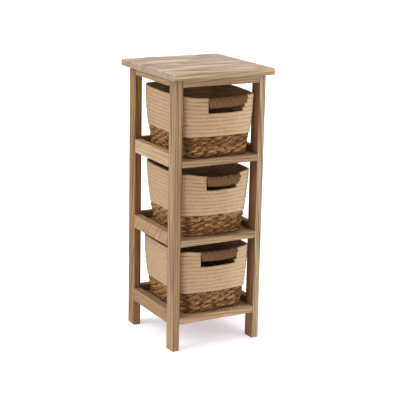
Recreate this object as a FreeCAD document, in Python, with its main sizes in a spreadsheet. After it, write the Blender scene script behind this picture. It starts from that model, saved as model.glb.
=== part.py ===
"""Open three-tier wooden stand with a loose rope and seagrass basket on each tier.

Millimetres. X runs to the right, the open front faces -Y and Z is up. The origin is on the floor, under
the middle of the top board.
"""
import FreeCAD
import Part
import Sketcher
import math
import os

Vector = FreeCAD.Vector

# Driving sizes: name, value in millimetres, meaning
SIZES = (
    ("total_height", 800.0, "floor to the upper face of the top board"),
    ("body_width", 284.0, "over the outer faces of the legs, left to right"),
    ("body_depth", 290.0, "over the outer faces of the legs, front to back"),
    ("leg_width", 21.0, "leg section, left to right"),
    ("leg_depth", 40.0, "leg section, front to back"),
    ("edge_ease", 1.6, "rounding of the long edges of legs, rails and aprons"),
    ("top_thickness", 19.0, "top board"),
    ("top_overhang", 20.0, "top board past the legs on every side"),
    ("top_corner_radius", 8.0, "top board corners seen from above"),
    ("top_edge_ease", 3.5, "rounding of the top board's upper and lower edges"),
    ("apron_height", 22.0, "aprons under the top board"),
    ("apron_thickness", 21.0, "aprons under the top board"),
    ("lowest_rail", 76.5, "floor to the underside of the lowest side and back rails"),
    ("upper_bay_trim", 0.5, "how much lower the upper bay is than the other two"),
    ("side_rail_height", 40.0, "side rails"),
    ("side_rail_thickness", 21.0, "side rails"),
    ("front_rail_lift", 2.5, "underside of the front rails above that of the side rails"),
    ("front_rail_height", 20.0, "front rails, laid flat"),
    ("front_rail_depth", 40.0, "front rails, laid flat"),
    ("back_rail_height", 40.0, "back rails"),
    ("back_rail_thickness", 21.0, "back rails"),
    ("shelf_thickness", 8.0, "shelf panels"),
    ("shelf_seat", 6.0, "how far a shelf panel enters its grooves"),
    ("shelf_rebate", 10.0, "step in the back of a front rail that carries the shelf panel"),
    ("shelf_play", 0.3, "room round a shelf panel in its seats"),
    ("dowel_diameter", 6.0, "dowels"),
    ("dowel_length", 30.0, "dowels"),
    ("dowel_play", 0.1, "room round a dowel"),
    ("dowel_end_room", 1.0, "glue room at each end of a dowel"),
    ("dowel_in_leg_edge", 14.0, "depth of a side rail's dowel in the leg"),
    ("dowel_in_leg_face", 12.0, "depth of a front or back rail's dowel in the leg"),
    ("screw_diameter", 4.0, "screws that hold the top board"),
    ("screw_head_diameter", 8.0, "screws that hold the top board"),
    ("screw_head_height", 2.6, "screws that hold the top board"),
    ("screw_bite", 11.0, "length of a screw in the top board"),
    ("screw_play", 0.1, "room round a screw"),
    ("cut_overrun", 2.0, "how far every cutting shape runs past the piece"),
    ("basket_side_room", 2.5, "between the swelling rim and the leg, left and right"),
    ("basket_depth_room", 24.0, "in front of the rim and behind it together, at the corners"),
    ("basket_side_taper", 22.0, "how far the base stands in from the rim, left and right"),
    ("basket_depth_taper", 3.0, "how far the base stands in from the rim, front and back"),
    ("basket_corner_radius", 26.0, "basket corners seen from above"),
    ("basket_bow", 2.5, "how far each basket side swells out at its middle"),
    ("basket_side_dip", 2.0, "how far the left and right rims sink at their middle"),
    ("basket_wall", 9.0, "thickness of the basket walls"),
    ("basket_base_thickness", 9.0, "thickness of the basket base"),
    ("basket_base_round", 3.5, "easing under the edge of the base"),
    ("rim_round", 2.5, "easing of the rim, inside and outside"),
    ("seagrass_height", 62.0, "from the base to the top of the seagrass band"),
    ("soft_gap", 0.3, "room between a basket and the shelf under it"),
    ("row_gap", 0.15, "room between base, seagrass band and rope wall"),
    ("lower_headroom", 19.0, "over the corners of the lower basket's rim"),
    ("middle_headroom", 22.0, "over the corners of the middle basket's rim"),
    ("upper_headroom", 28.5, "over the corners of the upper basket's rim"),
    ("lower_rim_dip", 10.0, "how far the front rim sinks at its middle"),
    ("middle_rim_dip", 14.0, "how far the front rim sinks at its middle"),
    ("upper_rim_dip", 10.0, "how far the front rim sinks at its middle"),
    ("lower_setback", 15.0, "front of the legs to the front rim"),
    ("middle_setback", 18.0, "front of the legs to the front rim"),
    ("upper_setback", 13.0, "front of the legs to the front rim"),
    ("lower_grip_left_room", 71.0, "left side of the rim to the grip"),
    ("middle_grip_left_room", 86.0, "left side of the rim to the grip"),
    ("upper_grip_left_room", 84.0, "left side of the rim to the grip"),
    ("lower_grip_right_room", 41.0, "grip to the right side of the rim"),
    ("middle_grip_right_room", 36.0, "grip to the right side of the rim"),
    ("upper_grip_right_room", 22.0, "grip to the right side of the rim"),
    ("grip_height", 30.0, "wrapped grip, over the twine"),
    ("grip_thickness", 21.0, "wrapped grip, over the twine"),
    ("slot_height", 13.0, "hand slot under the wrapped grip"),
    ("twine_diameter", 6.0, "twine wound round the grip"),
    ("twine_gap", 1.0, "room between two turns of twine"),
    ("twine_lead", 7.0, "length along the grip in which the twine bends into its first turn"),
    ("twine_lift", 0.15, "room between the twine and the grip's core"),
)

TIERS = ("lower", "middle", "upper")
SIDES = ("left", "right")
ENDS = ("front", "back")
STAVE_COUNT = 5
DOWEL_HEIGHT_SHARES = (0.25, 0.75)
APRON_DOWEL_HEIGHT_SHARES = (0.5,)
FRONT_RAIL_DOWEL_SHARES = (0.3, 0.75)
SCREW_SHARES = (0.25, 0.75)
ROPE_LEVEL_SHARES = (0.0, 0.3, 0.65)
SEAGRASS_LEVEL_SHARES = (0.0, 0.25, 0.55, 1.0)
WALL_CURVE_POWER = 1.5
QUARTER_TURN_DEGREES = 90.0
QUARTERS = 4
HALF_TURN = 0.5
POINTS_PER_ARC = 6
CUBIC_MM_IN_CM = 1000

doc = FreeCAD.newDocument("basket_stand")
nodes = []
bores = {}
families = {}


def fill_sheet():
    """Write the driving sizes to the spreadsheet, one aliased cell each."""
    cells = doc.addObject("Spreadsheet::Sheet", "sizes")
    for row, (name, value, meaning) in enumerate(SIZES, start=1):
        cells.set(f"A{row}", name)
        cells.set(f"B{row}", str(value))
        cells.set(f"C{row}", meaning)
        cells.setAlias(f"B{row}", name)
    doc.recompute()
    return cells


sheet = fill_sheet()


def size(name):
    """One driving size as a number."""
    return float(sheet.get(name))


# Places and lengths that several pieces share, as expressions on the sheet
LEFT_FACE = "-sizes.body_width / 2"
FRONT_FACE = "-sizes.body_depth / 2"
LEG_HEIGHT = "(sizes.total_height - sizes.top_thickness)"
CLEAR_WIDTH = "(sizes.body_width - 2 * sizes.leg_width)"
CLEAR_DEPTH = "(sizes.body_depth - 2 * sizes.leg_depth)"
INNER_LEFT = "(sizes.leg_width - sizes.body_width / 2)"
INNER_FRONT = "(sizes.leg_depth - sizes.body_depth / 2)"
APRON_BASE = f"({LEG_HEIGHT} - sizes.apron_height)"
TIER_PITCH = f"(({APRON_BASE} - sizes.lowest_rail + sizes.upper_bay_trim) / {len(TIERS)})"
TOP_WIDTH = "(sizes.body_width + 2 * sizes.top_overhang)"
TOP_DEPTH = "(sizes.body_depth + 2 * sizes.top_overhang)"


def flush_x(side, thickness):
    """Lowest x of a piece whose outer face lies in the outer face of the legs."""
    if side == "left":
        return LEFT_FACE
    return f"sizes.body_width / 2 - {thickness}"


def flush_y(end, thickness):
    """Lowest y of a piece whose outer face lies in the outer face of the legs."""
    if end == "front":
        return FRONT_FACE
    return f"sizes.body_depth / 2 - {thickness}"


def tier_base(tier):
    """Height of the underside of a tier's side and back rails."""
    return f"(sizes.lowest_rail + {TIERS.index(tier)} * {TIER_PITCH})"


def front_rail_base(tier):
    """Height of the underside of a tier's front rail."""
    return f"({tier_base(tier)} + sizes.front_rail_lift)"


def shelf_base(tier):
    """Height of the underside of a tier's shelf panel, whose top is level with the front rail."""
    return f"({front_rail_base(tier)} + sizes.front_rail_height - sizes.shelf_thickness)"


def place(thing, x, y, z):
    """Bind the place of an object to the sheet."""
    thing.setExpression("Placement.Base.x", x)
    thing.setExpression("Placement.Base.y", y)
    thing.setExpression("Placement.Base.z", z)


def keep(thing, label):
    """Label a finished piece and put it on the list of nodes."""
    thing.Label = label
    nodes.append(thing)
    return thing


def box(name, corner, spans):
    """A box whose lowest corner and three spans are expressions."""
    thing = doc.addObject("Part::Box", name)
    for length, span in zip(("Length", "Width", "Height"), spans):
        thing.setExpression(length, span)
    place(thing, *corner)
    return thing


def turn_to(axis):
    """The rotation that lays a cylinder's own Z along an axis."""
    if axis == "X":
        return FreeCAD.Rotation(Vector(0, 1, 0), QUARTER_TURN_DEGREES)
    if axis == "Y":
        return FreeCAD.Rotation(Vector(1, 0, 0), -QUARTER_TURN_DEGREES)
    return FreeCAD.Rotation()


def rod(name, axis, start, diameter, length):
    """A cylinder that starts at a point and runs along an axis."""
    thing = doc.addObject("Part::Cylinder", name)
    thing.Placement = FreeCAD.Placement(Vector(), turn_to(axis))
    thing.setExpression("Radius", f"({diameter}) / 2")
    thing.setExpression("Height", length)
    place(thing, *start)
    return thing


def group(name, members):
    """Several shapes as one object."""
    thing = doc.addObject("Part::Compound", name)
    thing.Links = members
    return thing


def rectangle(sketch, across, along, centred=False):
    """A fully constrained rectangle, from the sketch's origin or centred on it."""
    corners = [Vector(0, 0, 0), Vector(1, 0, 0), Vector(1, 1, 0), Vector(0, 1, 0)]
    for first, second in zip(corners, corners[1:] + corners[:1]):
        sketch.addGeometry(Part.LineSegment(first, second))
    for index in range(len(corners)):
        sketch.addConstraint(Sketcher.Constraint("Coincident", index, 2, (index + 1) % len(corners), 1))
    for index, kind in enumerate(("Horizontal", "Vertical", "Horizontal", "Vertical")):
        sketch.addConstraint(Sketcher.Constraint(kind, index))
    if centred:
        sketch.addConstraint(Sketcher.Constraint("Symmetric", 0, 1, 1, 2, -1, 1))
    else:
        sketch.addConstraint(Sketcher.Constraint("Coincident", 0, 1, -1, 1))
    spans = (("across", "DistanceX", 0, across), ("along", "DistanceY", 1, along))
    for name, kind, line, expression in spans:
        index = sketch.addConstraint(Sketcher.Constraint(kind, line, 1, line, 2, 1.0))
        sketch.renameConstraint(index, name)
        sketch.setExpression(f"Constraints.{name}", expression)


def sketch_on(body, role, name):
    """A sketch on one of the body's own origin planes."""
    sketch = body.newObject("Sketcher::SketchObject", name)
    plane = next(item for item in body.Origin.OriginFeatures if item.Role == role)
    sketch.AttachmentSupport = (plane, [""])
    sketch.MapMode = "FlatFace"
    return sketch


def ease(body, base, name, radius, chosen):
    """Round the edges of a feature that the test picks."""
    doc.recompute()
    picked = [f"Edge{number}" for number, edge in enumerate(base.Shape.Edges, start=1) if chosen(edge)]
    feature = body.newObject("PartDesign::Fillet", name)
    feature.Base = (base, picked)
    feature.setExpression("Radius", radius)
    body.Tip = feature
    return feature


def board(name, role, section, length, corner):
    """A length of timber: a rectangle on an origin plane, padded, with its long edges eased."""
    body = doc.addObject("PartDesign::Body", name)
    sketch = sketch_on(body, role, f"{name}_section")
    rectangle(sketch, *section)
    pad = body.newObject("PartDesign::Pad", f"{name}_length")
    pad.Profile = sketch
    pad.setExpression("Length", length)
    pad.Reversed = role == "XZ_Plane"
    grain = {"XY_Plane": Vector(0, 0, 1), "XZ_Plane": Vector(0, 1, 0), "YZ_Plane": Vector(1, 0, 0)}[role]

    def along_grain(edge):
        run = edge.Vertexes[1].Point - edge.Vertexes[0].Point
        return abs(run.dot(grain)) > run.Length / 2

    ease(body, pad, f"{name}_ease", "sizes.edge_ease", along_grain)
    place(body, *corner)
    return body


def leg(side, end):
    corner = (flush_x(side, "sizes.leg_width"), flush_y(end, "sizes.leg_depth"), "0")
    return board(f"{end}_{side}_leg", "XY_Plane", ("sizes.leg_width", "sizes.leg_depth"), LEG_HEIGHT, corner)


def side_board(name, side, thickness, height, base):
    """A rail or apron between the front and the back leg of one side."""
    corner = (flush_x(side, thickness), INNER_FRONT, base)
    return board(name, "XZ_Plane", (thickness, height), CLEAR_DEPTH, corner)


def cross_board(name, end, depth, height, base):
    """A rail or apron between the two side frames."""
    corner = (INNER_LEFT, flush_y(end, depth), base)
    return board(name, "YZ_Plane", (depth, height), CLEAR_WIDTH, corner)


def dowel(family, axis, start, boards):
    """One dowel, and the bore that it gets in each of the two boards that it joins."""
    name = f"{family}_{len(families.setdefault(family, [])) + 1}"
    families[family].append(rod(name, axis, start, "sizes.dowel_diameter", "sizes.dowel_length"))
    bore_start = list(start)
    place_in_start = "XYZ".index(axis)
    bore_start[place_in_start] = f"{start[place_in_start]} - sizes.dowel_end_room"
    bore = rod(
        f"{name}_bore",
        axis,
        bore_start,
        "sizes.dowel_diameter + 2 * sizes.dowel_play",
        "sizes.dowel_length + 2 * sizes.dowel_end_room",
    )
    for piece in boards:
        bores.setdefault(piece, []).append(bore)


def side_dowels(piece, side, thickness, height, base, shares):
    """Dowels at both ends of a side rail or side apron, in its thickness's middle."""
    middle = f"{flush_x(side, thickness)} + {thickness} / 2"
    for end in ENDS:
        if end == "front":
            start = f"{INNER_FRONT} - sizes.dowel_in_leg_edge"
        else:
            start = f"-{INNER_FRONT} + sizes.dowel_in_leg_edge - sizes.dowel_length"
        for share in shares:
            point = (middle, start, f"{base} + {share} * {height}")
            dowel(f"{side}_frame_dowels", "Y", point, (piece, f"{end}_{side}_leg"))


def cross_dowels(piece, end, places):
    """Dowels at both ends of a front or back rail or apron, at the given places (y, z)."""
    for side in SIDES:
        if side == "left":
            start = f"{INNER_LEFT} - sizes.dowel_in_leg_face"
        else:
            start = f"-{INNER_LEFT} + sizes.dowel_in_leg_face - sizes.dowel_length"
        for y, z in places:
            dowel(f"{end}_frame_dowels", "X", (start, y, z), (piece, f"{end}_{side}_leg"))


def middle_places(end, depth, height, base, shares):
    """Dowel places in the middle of a cross board's depth."""
    return [(f"{flush_y(end, depth)} + {depth} / 2", f"{base} + {share} * {height}") for share in shares]


def front_rail_places(base):
    """Dowel places of a flat front rail, side by side in the part of the leg that side dowels leave free."""
    free = "(sizes.leg_depth - sizes.dowel_in_leg_edge)"
    height = f"{base} + sizes.front_rail_height / 2"
    return [(f"{FRONT_FACE} + {share} * {free}", height) for share in FRONT_RAIL_DOWEL_SHARES]


def shelf_seats(tier):
    """The grooves and the step in a tier's four rails that hold its shelf panel."""
    base = shelf_base(tier)
    groove = "sizes.shelf_thickness + sizes.shelf_play"
    depth = "(sizes.shelf_seat + sizes.shelf_play)"
    long = f"{CLEAR_DEPTH} + 2 * sizes.cut_overrun"
    wide = f"{CLEAR_WIDTH} + 2 * sizes.cut_overrun"
    from_front = f"{INNER_FRONT} - sizes.cut_overrun"
    from_left = f"{INNER_LEFT} - sizes.cut_overrun"
    rail_inside = "(sizes.side_rail_thickness - sizes.body_width / 2)"
    for side in SIDES:
        inside = f"{rail_inside} - {depth}" if side == "left" else f"-{rail_inside} - sizes.cut_overrun"
        seat = box(
            f"{tier}_{side}_groove",
            (inside, from_front, base),
            (f"{depth} + sizes.cut_overrun", long, groove),
        )
        bores.setdefault(f"{tier}_{side}_rail", []).append(seat)
    back_inside = "sizes.body_depth / 2 - sizes.back_rail_thickness"
    seat = box(
        f"{tier}_back_groove",
        (from_left, f"{back_inside} - sizes.cut_overrun", base),
        (wide, f"{depth} + sizes.cut_overrun", groove),
    )
    bores.setdefault(f"{tier}_back_rail", []).append(seat)
    step_front = f"{FRONT_FACE} + sizes.front_rail_depth - sizes.shelf_rebate - sizes.shelf_play"
    seat = box(
        f"{tier}_front_step",
        (from_left, step_front, base),
        (wide, "sizes.shelf_rebate + sizes.shelf_play + sizes.cut_overrun",
         "sizes.shelf_thickness + sizes.cut_overrun"),
    )
    bores.setdefault(f"{tier}_front_rail", []).append(seat)


def shelf(tier):
    """A shelf panel: a field between the legs, with a tongue left and right that enters the side rails."""
    front = f"({FRONT_FACE} + sizes.front_rail_depth - sizes.shelf_rebate)"
    back = "(sizes.body_depth / 2 - sizes.back_rail_thickness + sizes.shelf_seat)"
    field = box(
        f"{tier}_shelf_field",
        (f"{INNER_LEFT} + sizes.shelf_play", front, shelf_base(tier)),
        (f"{CLEAR_WIDTH} - 2 * sizes.shelf_play", f"{back} - {front}", "sizes.shelf_thickness"),
    )
    reach = "(sizes.body_width / 2 - sizes.side_rail_thickness + sizes.shelf_seat)"
    tongue = box(
        f"{tier}_shelf_tongue",
        (f"-{reach}", f"{INNER_FRONT} + sizes.shelf_play", shelf_base(tier)),
        (f"2 * {reach}", f"{CLEAR_DEPTH} - 2 * sizes.shelf_play", "sizes.shelf_thickness"),
    )
    panel = doc.addObject("Part::Fuse", f"{tier}_shelf_panel")
    panel.Base = field
    panel.Tool = tongue
    panel.Refine = True
    return keep(panel, f"{tier}_shelf")


def top_screw(index, x, y):
    """A countersunk screw from under an apron into the top board, with its bore and countersink."""
    length = "sizes.apron_height + sizes.screw_bite"
    shank = rod(f"screw_{index}_shank", "Z", (x, y, APRON_BASE), "sizes.screw_diameter", length)
    head = doc.addObject("Part::Cone", f"screw_{index}_head")
    sink = doc.addObject("Part::Cone", f"screw_{index}_sink")
    for cone, room in ((head, "0"), (sink, "sizes.screw_play")):
        cone.setExpression("Radius1", f"sizes.screw_head_diameter / 2 + {room}")
        cone.setExpression("Radius2", f"sizes.screw_diameter / 2 + {room}")
        cone.setExpression("Height", f"sizes.screw_head_height + {room}")
        place(cone, x, y, APRON_BASE)
    whole = doc.addObject("Part::Fuse", f"screw_{index}")
    whole.Base = shank
    whole.Tool = head
    bore = rod(
        f"screw_{index}_bore",
        "Z",
        (x, y, f"{APRON_BASE} - sizes.cut_overrun"),
        "sizes.screw_diameter + 2 * sizes.screw_play",
        f"{length} + sizes.cut_overrun + sizes.screw_play",
    )
    seat = doc.addObject("Part::Fuse", f"screw_{index}_seat")
    seat.Base = bore
    seat.Tool = sink
    return whole, seat


def top_screws():
    """Two screws in each apron, and the seats that they need in the apron and in the top board."""
    screws = []
    for end in ENDS:
        y = f"{flush_y(end, 'sizes.apron_thickness')} + sizes.apron_thickness / 2"
        for share in SCREW_SHARES:
            screw, seat = top_screw(len(screws) + 1, f"{INNER_LEFT} + {share} * {CLEAR_WIDTH}", y)
            screws.append(screw)
            bores.setdefault(f"{end}_apron", []).append(seat)
            bores.setdefault("top_board", []).append(seat)
    for side in SIDES:
        x = f"{flush_x(side, 'sizes.apron_thickness')} + sizes.apron_thickness / 2"
        for share in SCREW_SHARES:
            screw, seat = top_screw(len(screws) + 1, x, f"{INNER_FRONT} + {share} * {CLEAR_DEPTH}")
            screws.append(screw)
            bores.setdefault(f"{side}_apron", []).append(seat)
            bores.setdefault("top_board", []).append(seat)
    return keep(group("screws", screws), "top_screws")


def bored(blank, piece):
    """The blank with all its bores and grooves cut."""
    if piece not in bores:
        return blank
    cut = doc.addObject("Part::Cut", f"{piece}_bored")
    cut.Base = blank
    cut.Tool = group(f"{piece}_cutters", bores[piece])
    return cut


def top_board():
    """The glued-up top board before it is divided into its staves."""
    body = doc.addObject("PartDesign::Body", "top_blank")
    sketch = sketch_on(body, "XY_Plane", "top_outline")
    rectangle(sketch, TOP_WIDTH, TOP_DEPTH, centred=True)
    pad = body.newObject("PartDesign::Pad", "top_pad")
    pad.Profile = sketch
    pad.setExpression("Length", "sizes.top_thickness")

    def upright(edge):
        run = edge.Vertexes[1].Point - edge.Vertexes[0].Point
        return abs(run.z) > run.Length / 2

    def level(edge):
        return edge.BoundBox.ZLength < Part.Precision.confusion()

    corners = ease(body, pad, "top_corners", "sizes.top_corner_radius", upright)
    ease(body, corners, "top_ease", "sizes.top_edge_ease", level)
    place(body, "0", "0", LEG_HEIGHT)
    return body


def staves(blank):
    """The top board's staves, which run from left to right, one behind the other."""
    width = f"{TOP_DEPTH} / {STAVE_COUNT}"
    for index in range(STAVE_COUNT):
        slab = box(
            f"stave_slab_{index + 1}",
            (
                f"-{TOP_WIDTH} / 2 - sizes.cut_overrun",
                f"-{TOP_DEPTH} / 2 + {index} * {width}",
                f"{LEG_HEIGHT} - sizes.cut_overrun",
            ),
            (f"{TOP_WIDTH} + 2 * sizes.cut_overrun", width, "sizes.top_thickness + 2 * sizes.cut_overrun"),
        )
        stave = doc.addObject("Part::Common", f"stave_{index + 1}")
        stave.Base = blank
        stave.Tool = slab
        keep(stave, f"top_stave_{index + 1}")


class Basket:
    """One basket's outline at any height, in numbers from the sheet."""

    def __init__(self, tier):
        self.tier = tier
        self.dip = size(f"{tier}_rim_dip")
        self.wall = size("basket_wall")
        self.front = size(f"{tier}_setback") - size("body_depth") / 2
        self.depth = size("body_depth") - size("back_rail_thickness") - size("basket_depth_room")
        clear_half = size("body_width") / 2 - size("leg_width")
        self.half_width = clear_half - size("basket_side_room") - size("basket_bow")
        self.grip_left = size(f"{tier}_grip_left_room") - self.half_width
        self.grip_length = self.half_width - size(f"{tier}_grip_right_room") - self.grip_left
        apron = size("total_height") - size("top_thickness") - size("apron_height")
        pitch = (apron - size("lowest_rail") + size("upper_bay_trim")) / len(TIERS)
        rail = size("lowest_rail") + TIERS.index(tier) * pitch
        self.floor = rail + size("front_rail_lift") + size("front_rail_height") + size("soft_gap")
        ceiling = apron if tier == TIERS[-1] else rail + pitch
        self.rim = ceiling - self.floor - size(f"{tier}_headroom")

    def spread(self, height):
        """How far the wall has opened out at a height, from 0 at the base to 1 at the rim."""
        return 1 - (1 - height / self.rim) ** WALL_CURVE_POWER

    def outer_front(self, height):
        """The outer front face at its corners."""
        return self.front + size("basket_depth_taper") * (1 - self.spread(height))

    def sink(self, height):
        """The share of the rim's dip that a row has: none at the base's top, all at the rim."""
        base = size("basket_base_thickness")
        return max(height - base, 0) / (self.rim - base)

    def ring(self, height, inset):
        """The closed outline at a height, as four swelling sides and four round corners."""
        half = self.half_width - size("basket_side_taper") * (1 - self.spread(height)) - inset
        front = self.outer_front(height) + inset
        back = 2 * self.front + self.depth - front
        radius = size("basket_corner_radius") - inset
        bow = size("basket_bow")
        level = self.floor + height
        front_level = level - self.dip * self.sink(height)
        side_level = level - size("basket_side_dip") * self.sink(height)
        middle = (front + back) / 2
        lean = radius * (1 - math.sqrt(0.5))
        sides = (
            (Vector(-half, back - radius, level), Vector(-half - bow, middle, side_level),
             Vector(-half, front + radius, level)),
            (Vector(radius - half, front, level), Vector(0, front - bow, front_level),
             Vector(half - radius, front, level)),
            (Vector(half, front + radius, level), Vector(half + bow, middle, side_level),
             Vector(half, back - radius, level)),
            (Vector(half - radius, back, level), Vector(0, back + bow, front_level),
             Vector(radius - half, back, level)),
        )
        corners = (
            Vector(lean - half, front + lean, level),
            Vector(half - lean, front + lean, level),
            Vector(half - lean, back - lean, level),
            Vector(lean - half, back - lean, level),
        )
        edges = []
        for index, (side, corner) in enumerate(zip(sides, corners)):
            following = sides[(index + 1) % len(sides)]
            edges.append(Part.Arc(*side).toShape())
            edges.append(Part.Arc(side[2], corner, following[0]).toShape())
        return edges


def skin(lower, upper):
    """The faces between two outlines."""
    return [Part.makeRuledSurface(below, above) for below, above in zip(lower, upper)]


def hollow_wall(outer, inner):
    """A closed wall between outer and inner outlines, which are listed from the bottom up."""
    faces = skin(outer[0], inner[0]) + skin(outer[-1], inner[-1])
    for rings in (outer, inner):
        for lower, upper in zip(rings, rings[1:]):
            faces += skin(lower, upper)
    shell = Part.makeShell(faces)
    shell.sewShape()
    solid = Part.makeSolid(shell)
    if solid.Volume < 0:
        solid.reverse()
    return solid


def feature(label, shape):
    """A piece whose shape is made directly."""
    thing = doc.addObject("Part::Feature", label)
    thing.Shape = shape
    return keep(thing, label)


def basket_base(basket):
    """The plaited base, eased under its edge."""
    levels = (
        (0, size("basket_base_round")),
        (size("basket_base_round"), 0),
        (size("basket_base_thickness"), 0),
    )
    outlines = [Part.Wire(basket.ring(height, inset)) for height, inset in levels]
    feature(f"{basket.tier}_basket_base", Part.makeLoft(outlines, True, True))


def seagrass_band(basket):
    """The plaited seagrass band that stands on the base."""
    start = size("basket_base_thickness") + size("row_gap")
    heights = [start + share * (size("seagrass_height") - start) for share in SEAGRASS_LEVEL_SHARES]
    outer = [basket.ring(height, 0) for height in heights]
    inner = [basket.ring(height, basket.wall) for height in heights]
    feature(f"{basket.tier}_seagrass_band", hollow_wall(outer, inner))


def grip_level(basket):
    """Height of the grip's middle above the floor of the stand."""
    return basket.floor + basket.rim - basket.dip - size("grip_height") / 2


def grip_depth(basket):
    """The y of the grip's middle, in the middle of the bowed front wall."""
    height = grip_level(basket) - basket.floor
    return basket.outer_front(height) - size("basket_bow") + basket.wall / 2


def rope_wall(basket):
    """The wall of rope rows from the seagrass to the rim, with the gap for the grip and the hand slot."""
    start = size("seagrass_height") + size("row_gap")
    shoulder = basket.rim - size("rim_round")
    heights = [start + share * (shoulder - start) for share in ROPE_LEVEL_SHARES] + [shoulder]
    outer = [basket.ring(height, 0) for height in heights]
    inner = [basket.ring(height, basket.wall) for height in heights]
    outer.append(basket.ring(basket.rim, size("rim_round")))
    inner.append(basket.ring(basket.rim, basket.wall - size("rim_round")))
    wall = hollow_wall(outer, inner)
    overrun = size("cut_overrun")
    bottom = grip_level(basket) - size("grip_height") / 2 - size("slot_height")
    gap_front = basket.front - size("basket_bow") - overrun
    gap = Part.makeBox(
        basket.grip_length,
        basket.outer_front(bottom - basket.floor) + basket.wall + overrun - gap_front,
        basket.floor + basket.rim + overrun - bottom,
        Vector(basket.grip_left, gap_front, bottom),
    )
    feature(f"{basket.tier}_rope_wall", wall.cut(gap))


def biarc(start, start_way, end, end_way):
    """Two arcs from one point and direction to another, as (start, middle, end) points."""
    chord = end - start
    both = start_way + end_way
    bend = 2 * start_way.dot(end_way) - 2
    reach = chord.dot(both)
    leg_length = (reach - math.sqrt(reach * reach - bend * chord.dot(chord))) / bend
    first_corner = start + start_way * leg_length
    second_corner = end - end_way * leg_length
    join = (first_corner + second_corner) / 2
    return [arc_points(start, first_corner, join), arc_points(join, second_corner, end)]


def arc_points(start, corner, end):
    """The arc that touches the lines from a corner to its two ends."""
    middle = (start + end) / 2
    half_chord = (end - start).Length / 2
    rise = (corner - middle).Length
    sagitta = half_chord * math.tan(math.atan2(rise, half_chord) / 2)
    return (start, middle + (corner - middle) * (sagitta / rise), end)


def arc_radius(arc):
    """Radius of an arc given by three points."""
    start, middle, end = arc
    sagitta = (middle - (start + end) / 2).Length
    half_chord = (end - start).Length / 2
    return (half_chord ** 2 + sagitta ** 2) / (2 * sagitta)


def grip_core_section(basket):
    """The core's outline: one turn of the twine's centre line, drawn in to the twine's inside."""
    reach = (size("grip_thickness") - size("twine_diameter")) / 2
    rise = (size("grip_height") - size("twine_diameter")) / 2
    middle = Vector(basket.grip_left, grip_depth(basket), grip_level(basket))
    points = quarter_points(middle, reach, rise)
    arcs = []
    for index, (point, way) in enumerate(points):
        next_point, next_way = points[(index + 1) % len(points)]
        arcs += biarc(point, way, next_point, next_way)
    turn = Part.Wire([Part.Arc(*arc).toShape() for arc in arcs])
    return turn.makeOffset2D(-size("twine_diameter") / 2 - size("twine_lift"))


def quarter_points(middle, reach, rise):
    """The four quarter points of a turn round the grip, with the direction of winding at each."""
    return (
        (middle + Vector(0, 0, rise), Vector(0, -1, 0)),
        (middle + Vector(0, -reach, 0), Vector(0, 0, -1)),
        (middle + Vector(0, 0, -rise), Vector(0, 1, 0)),
        (middle + Vector(0, reach, 0), Vector(0, 0, 1)),
    )


def grip_core(basket):
    """The rope rows that run across the gap, bundled to the core of the grip."""
    section = Part.Face(grip_core_section(basket))
    feature(f"{basket.tier}_grip_core", section.extrude(Vector(basket.grip_length, 0, 0)))


def grip_twine(basket):
    """The twine wound round the grip: one unbroken tube, whose two ends run straight into the rope wall."""
    thick = size("twine_diameter")
    lead = size("twine_lead")
    reach = (size("grip_thickness") - thick) / 2
    rise = (size("grip_height") - thick) / 2
    room = basket.grip_length - 2 * (thick + lead)
    turns = math.floor(room / (thick + size("twine_gap")) - HALF_TURN) + HALF_TURN
    pitch = room / turns
    left = Vector(basket.grip_left, grip_depth(basket), grip_level(basket))
    right = left + Vector(basket.grip_length, 0, 0)
    along = Vector(1, 0, 0)
    slope = along * (pitch / grip_core_section(basket).Length)
    path = []
    for index in range(int(QUARTERS * turns) + 1):
        advance = along * (thick + lead + index * pitch / QUARTERS)
        point, way = quarter_points(left + advance, reach, rise)[index % QUARTERS]
        path.append((point, (way + slope).normalize()))
    begin = left + Vector(thick, reach, 0)
    finish = right + Vector(-thick, reach, 0)
    path = [(begin, along)] + path + [(finish, along)]
    arcs = []
    for (point, way), (next_point, next_way) in zip(path, path[1:]):
        arcs += biarc(point, way, next_point, next_way)
    ends = (begin - along * thick, finish + along * thick)
    edges = [Part.LineSegment(ends[0], begin).toShape()]
    edges += [Part.Arc(*arc).toShape() for arc in arcs]
    edges.append(Part.LineSegment(finish, ends[1]).toShape())
    profile = Part.Wire(Part.Circle(ends[0], along, thick / 2).toShape())
    tube = Part.Wire(edges).makePipeShell([profile], True, False)
    report_twine(basket, edges, arcs, turns, tube)
    feature(f"{basket.tier}_grip_twine", tube)


def report_twine(basket, edges, arcs, turns, tube):
    """Print the winding's turns, tightest arc, volume and least gap to itself, measured on points."""
    thick = size("twine_diameter")
    points = []
    travelled = 0.0
    for edge in edges:
        for index, point in enumerate(edge.discretize(POINTS_PER_ARC)[:-1]):
            points.append((travelled + edge.Length * index / (POINTS_PER_ARC - 1), point))
        travelled += edge.Length
    apart = min(
        first.distanceToPoint(second)
        for number, (near, first) in enumerate(points)
        for far, second in points[number + 1:]
        if far - near > math.pi * thick
    )
    tightest = min(arc_radius(arc) for arc in arcs)
    section = math.pi * thick ** 2 / 4
    print(
        f"{basket.tier} twine: {turns} turns, length {travelled:.0f}, least gap {apart - thick:.2f}, "
        f"tightest radius {tightest:.2f}, volume over section times length "
        f"{tube.Volume / (section * travelled):.4f}"
    )


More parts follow.
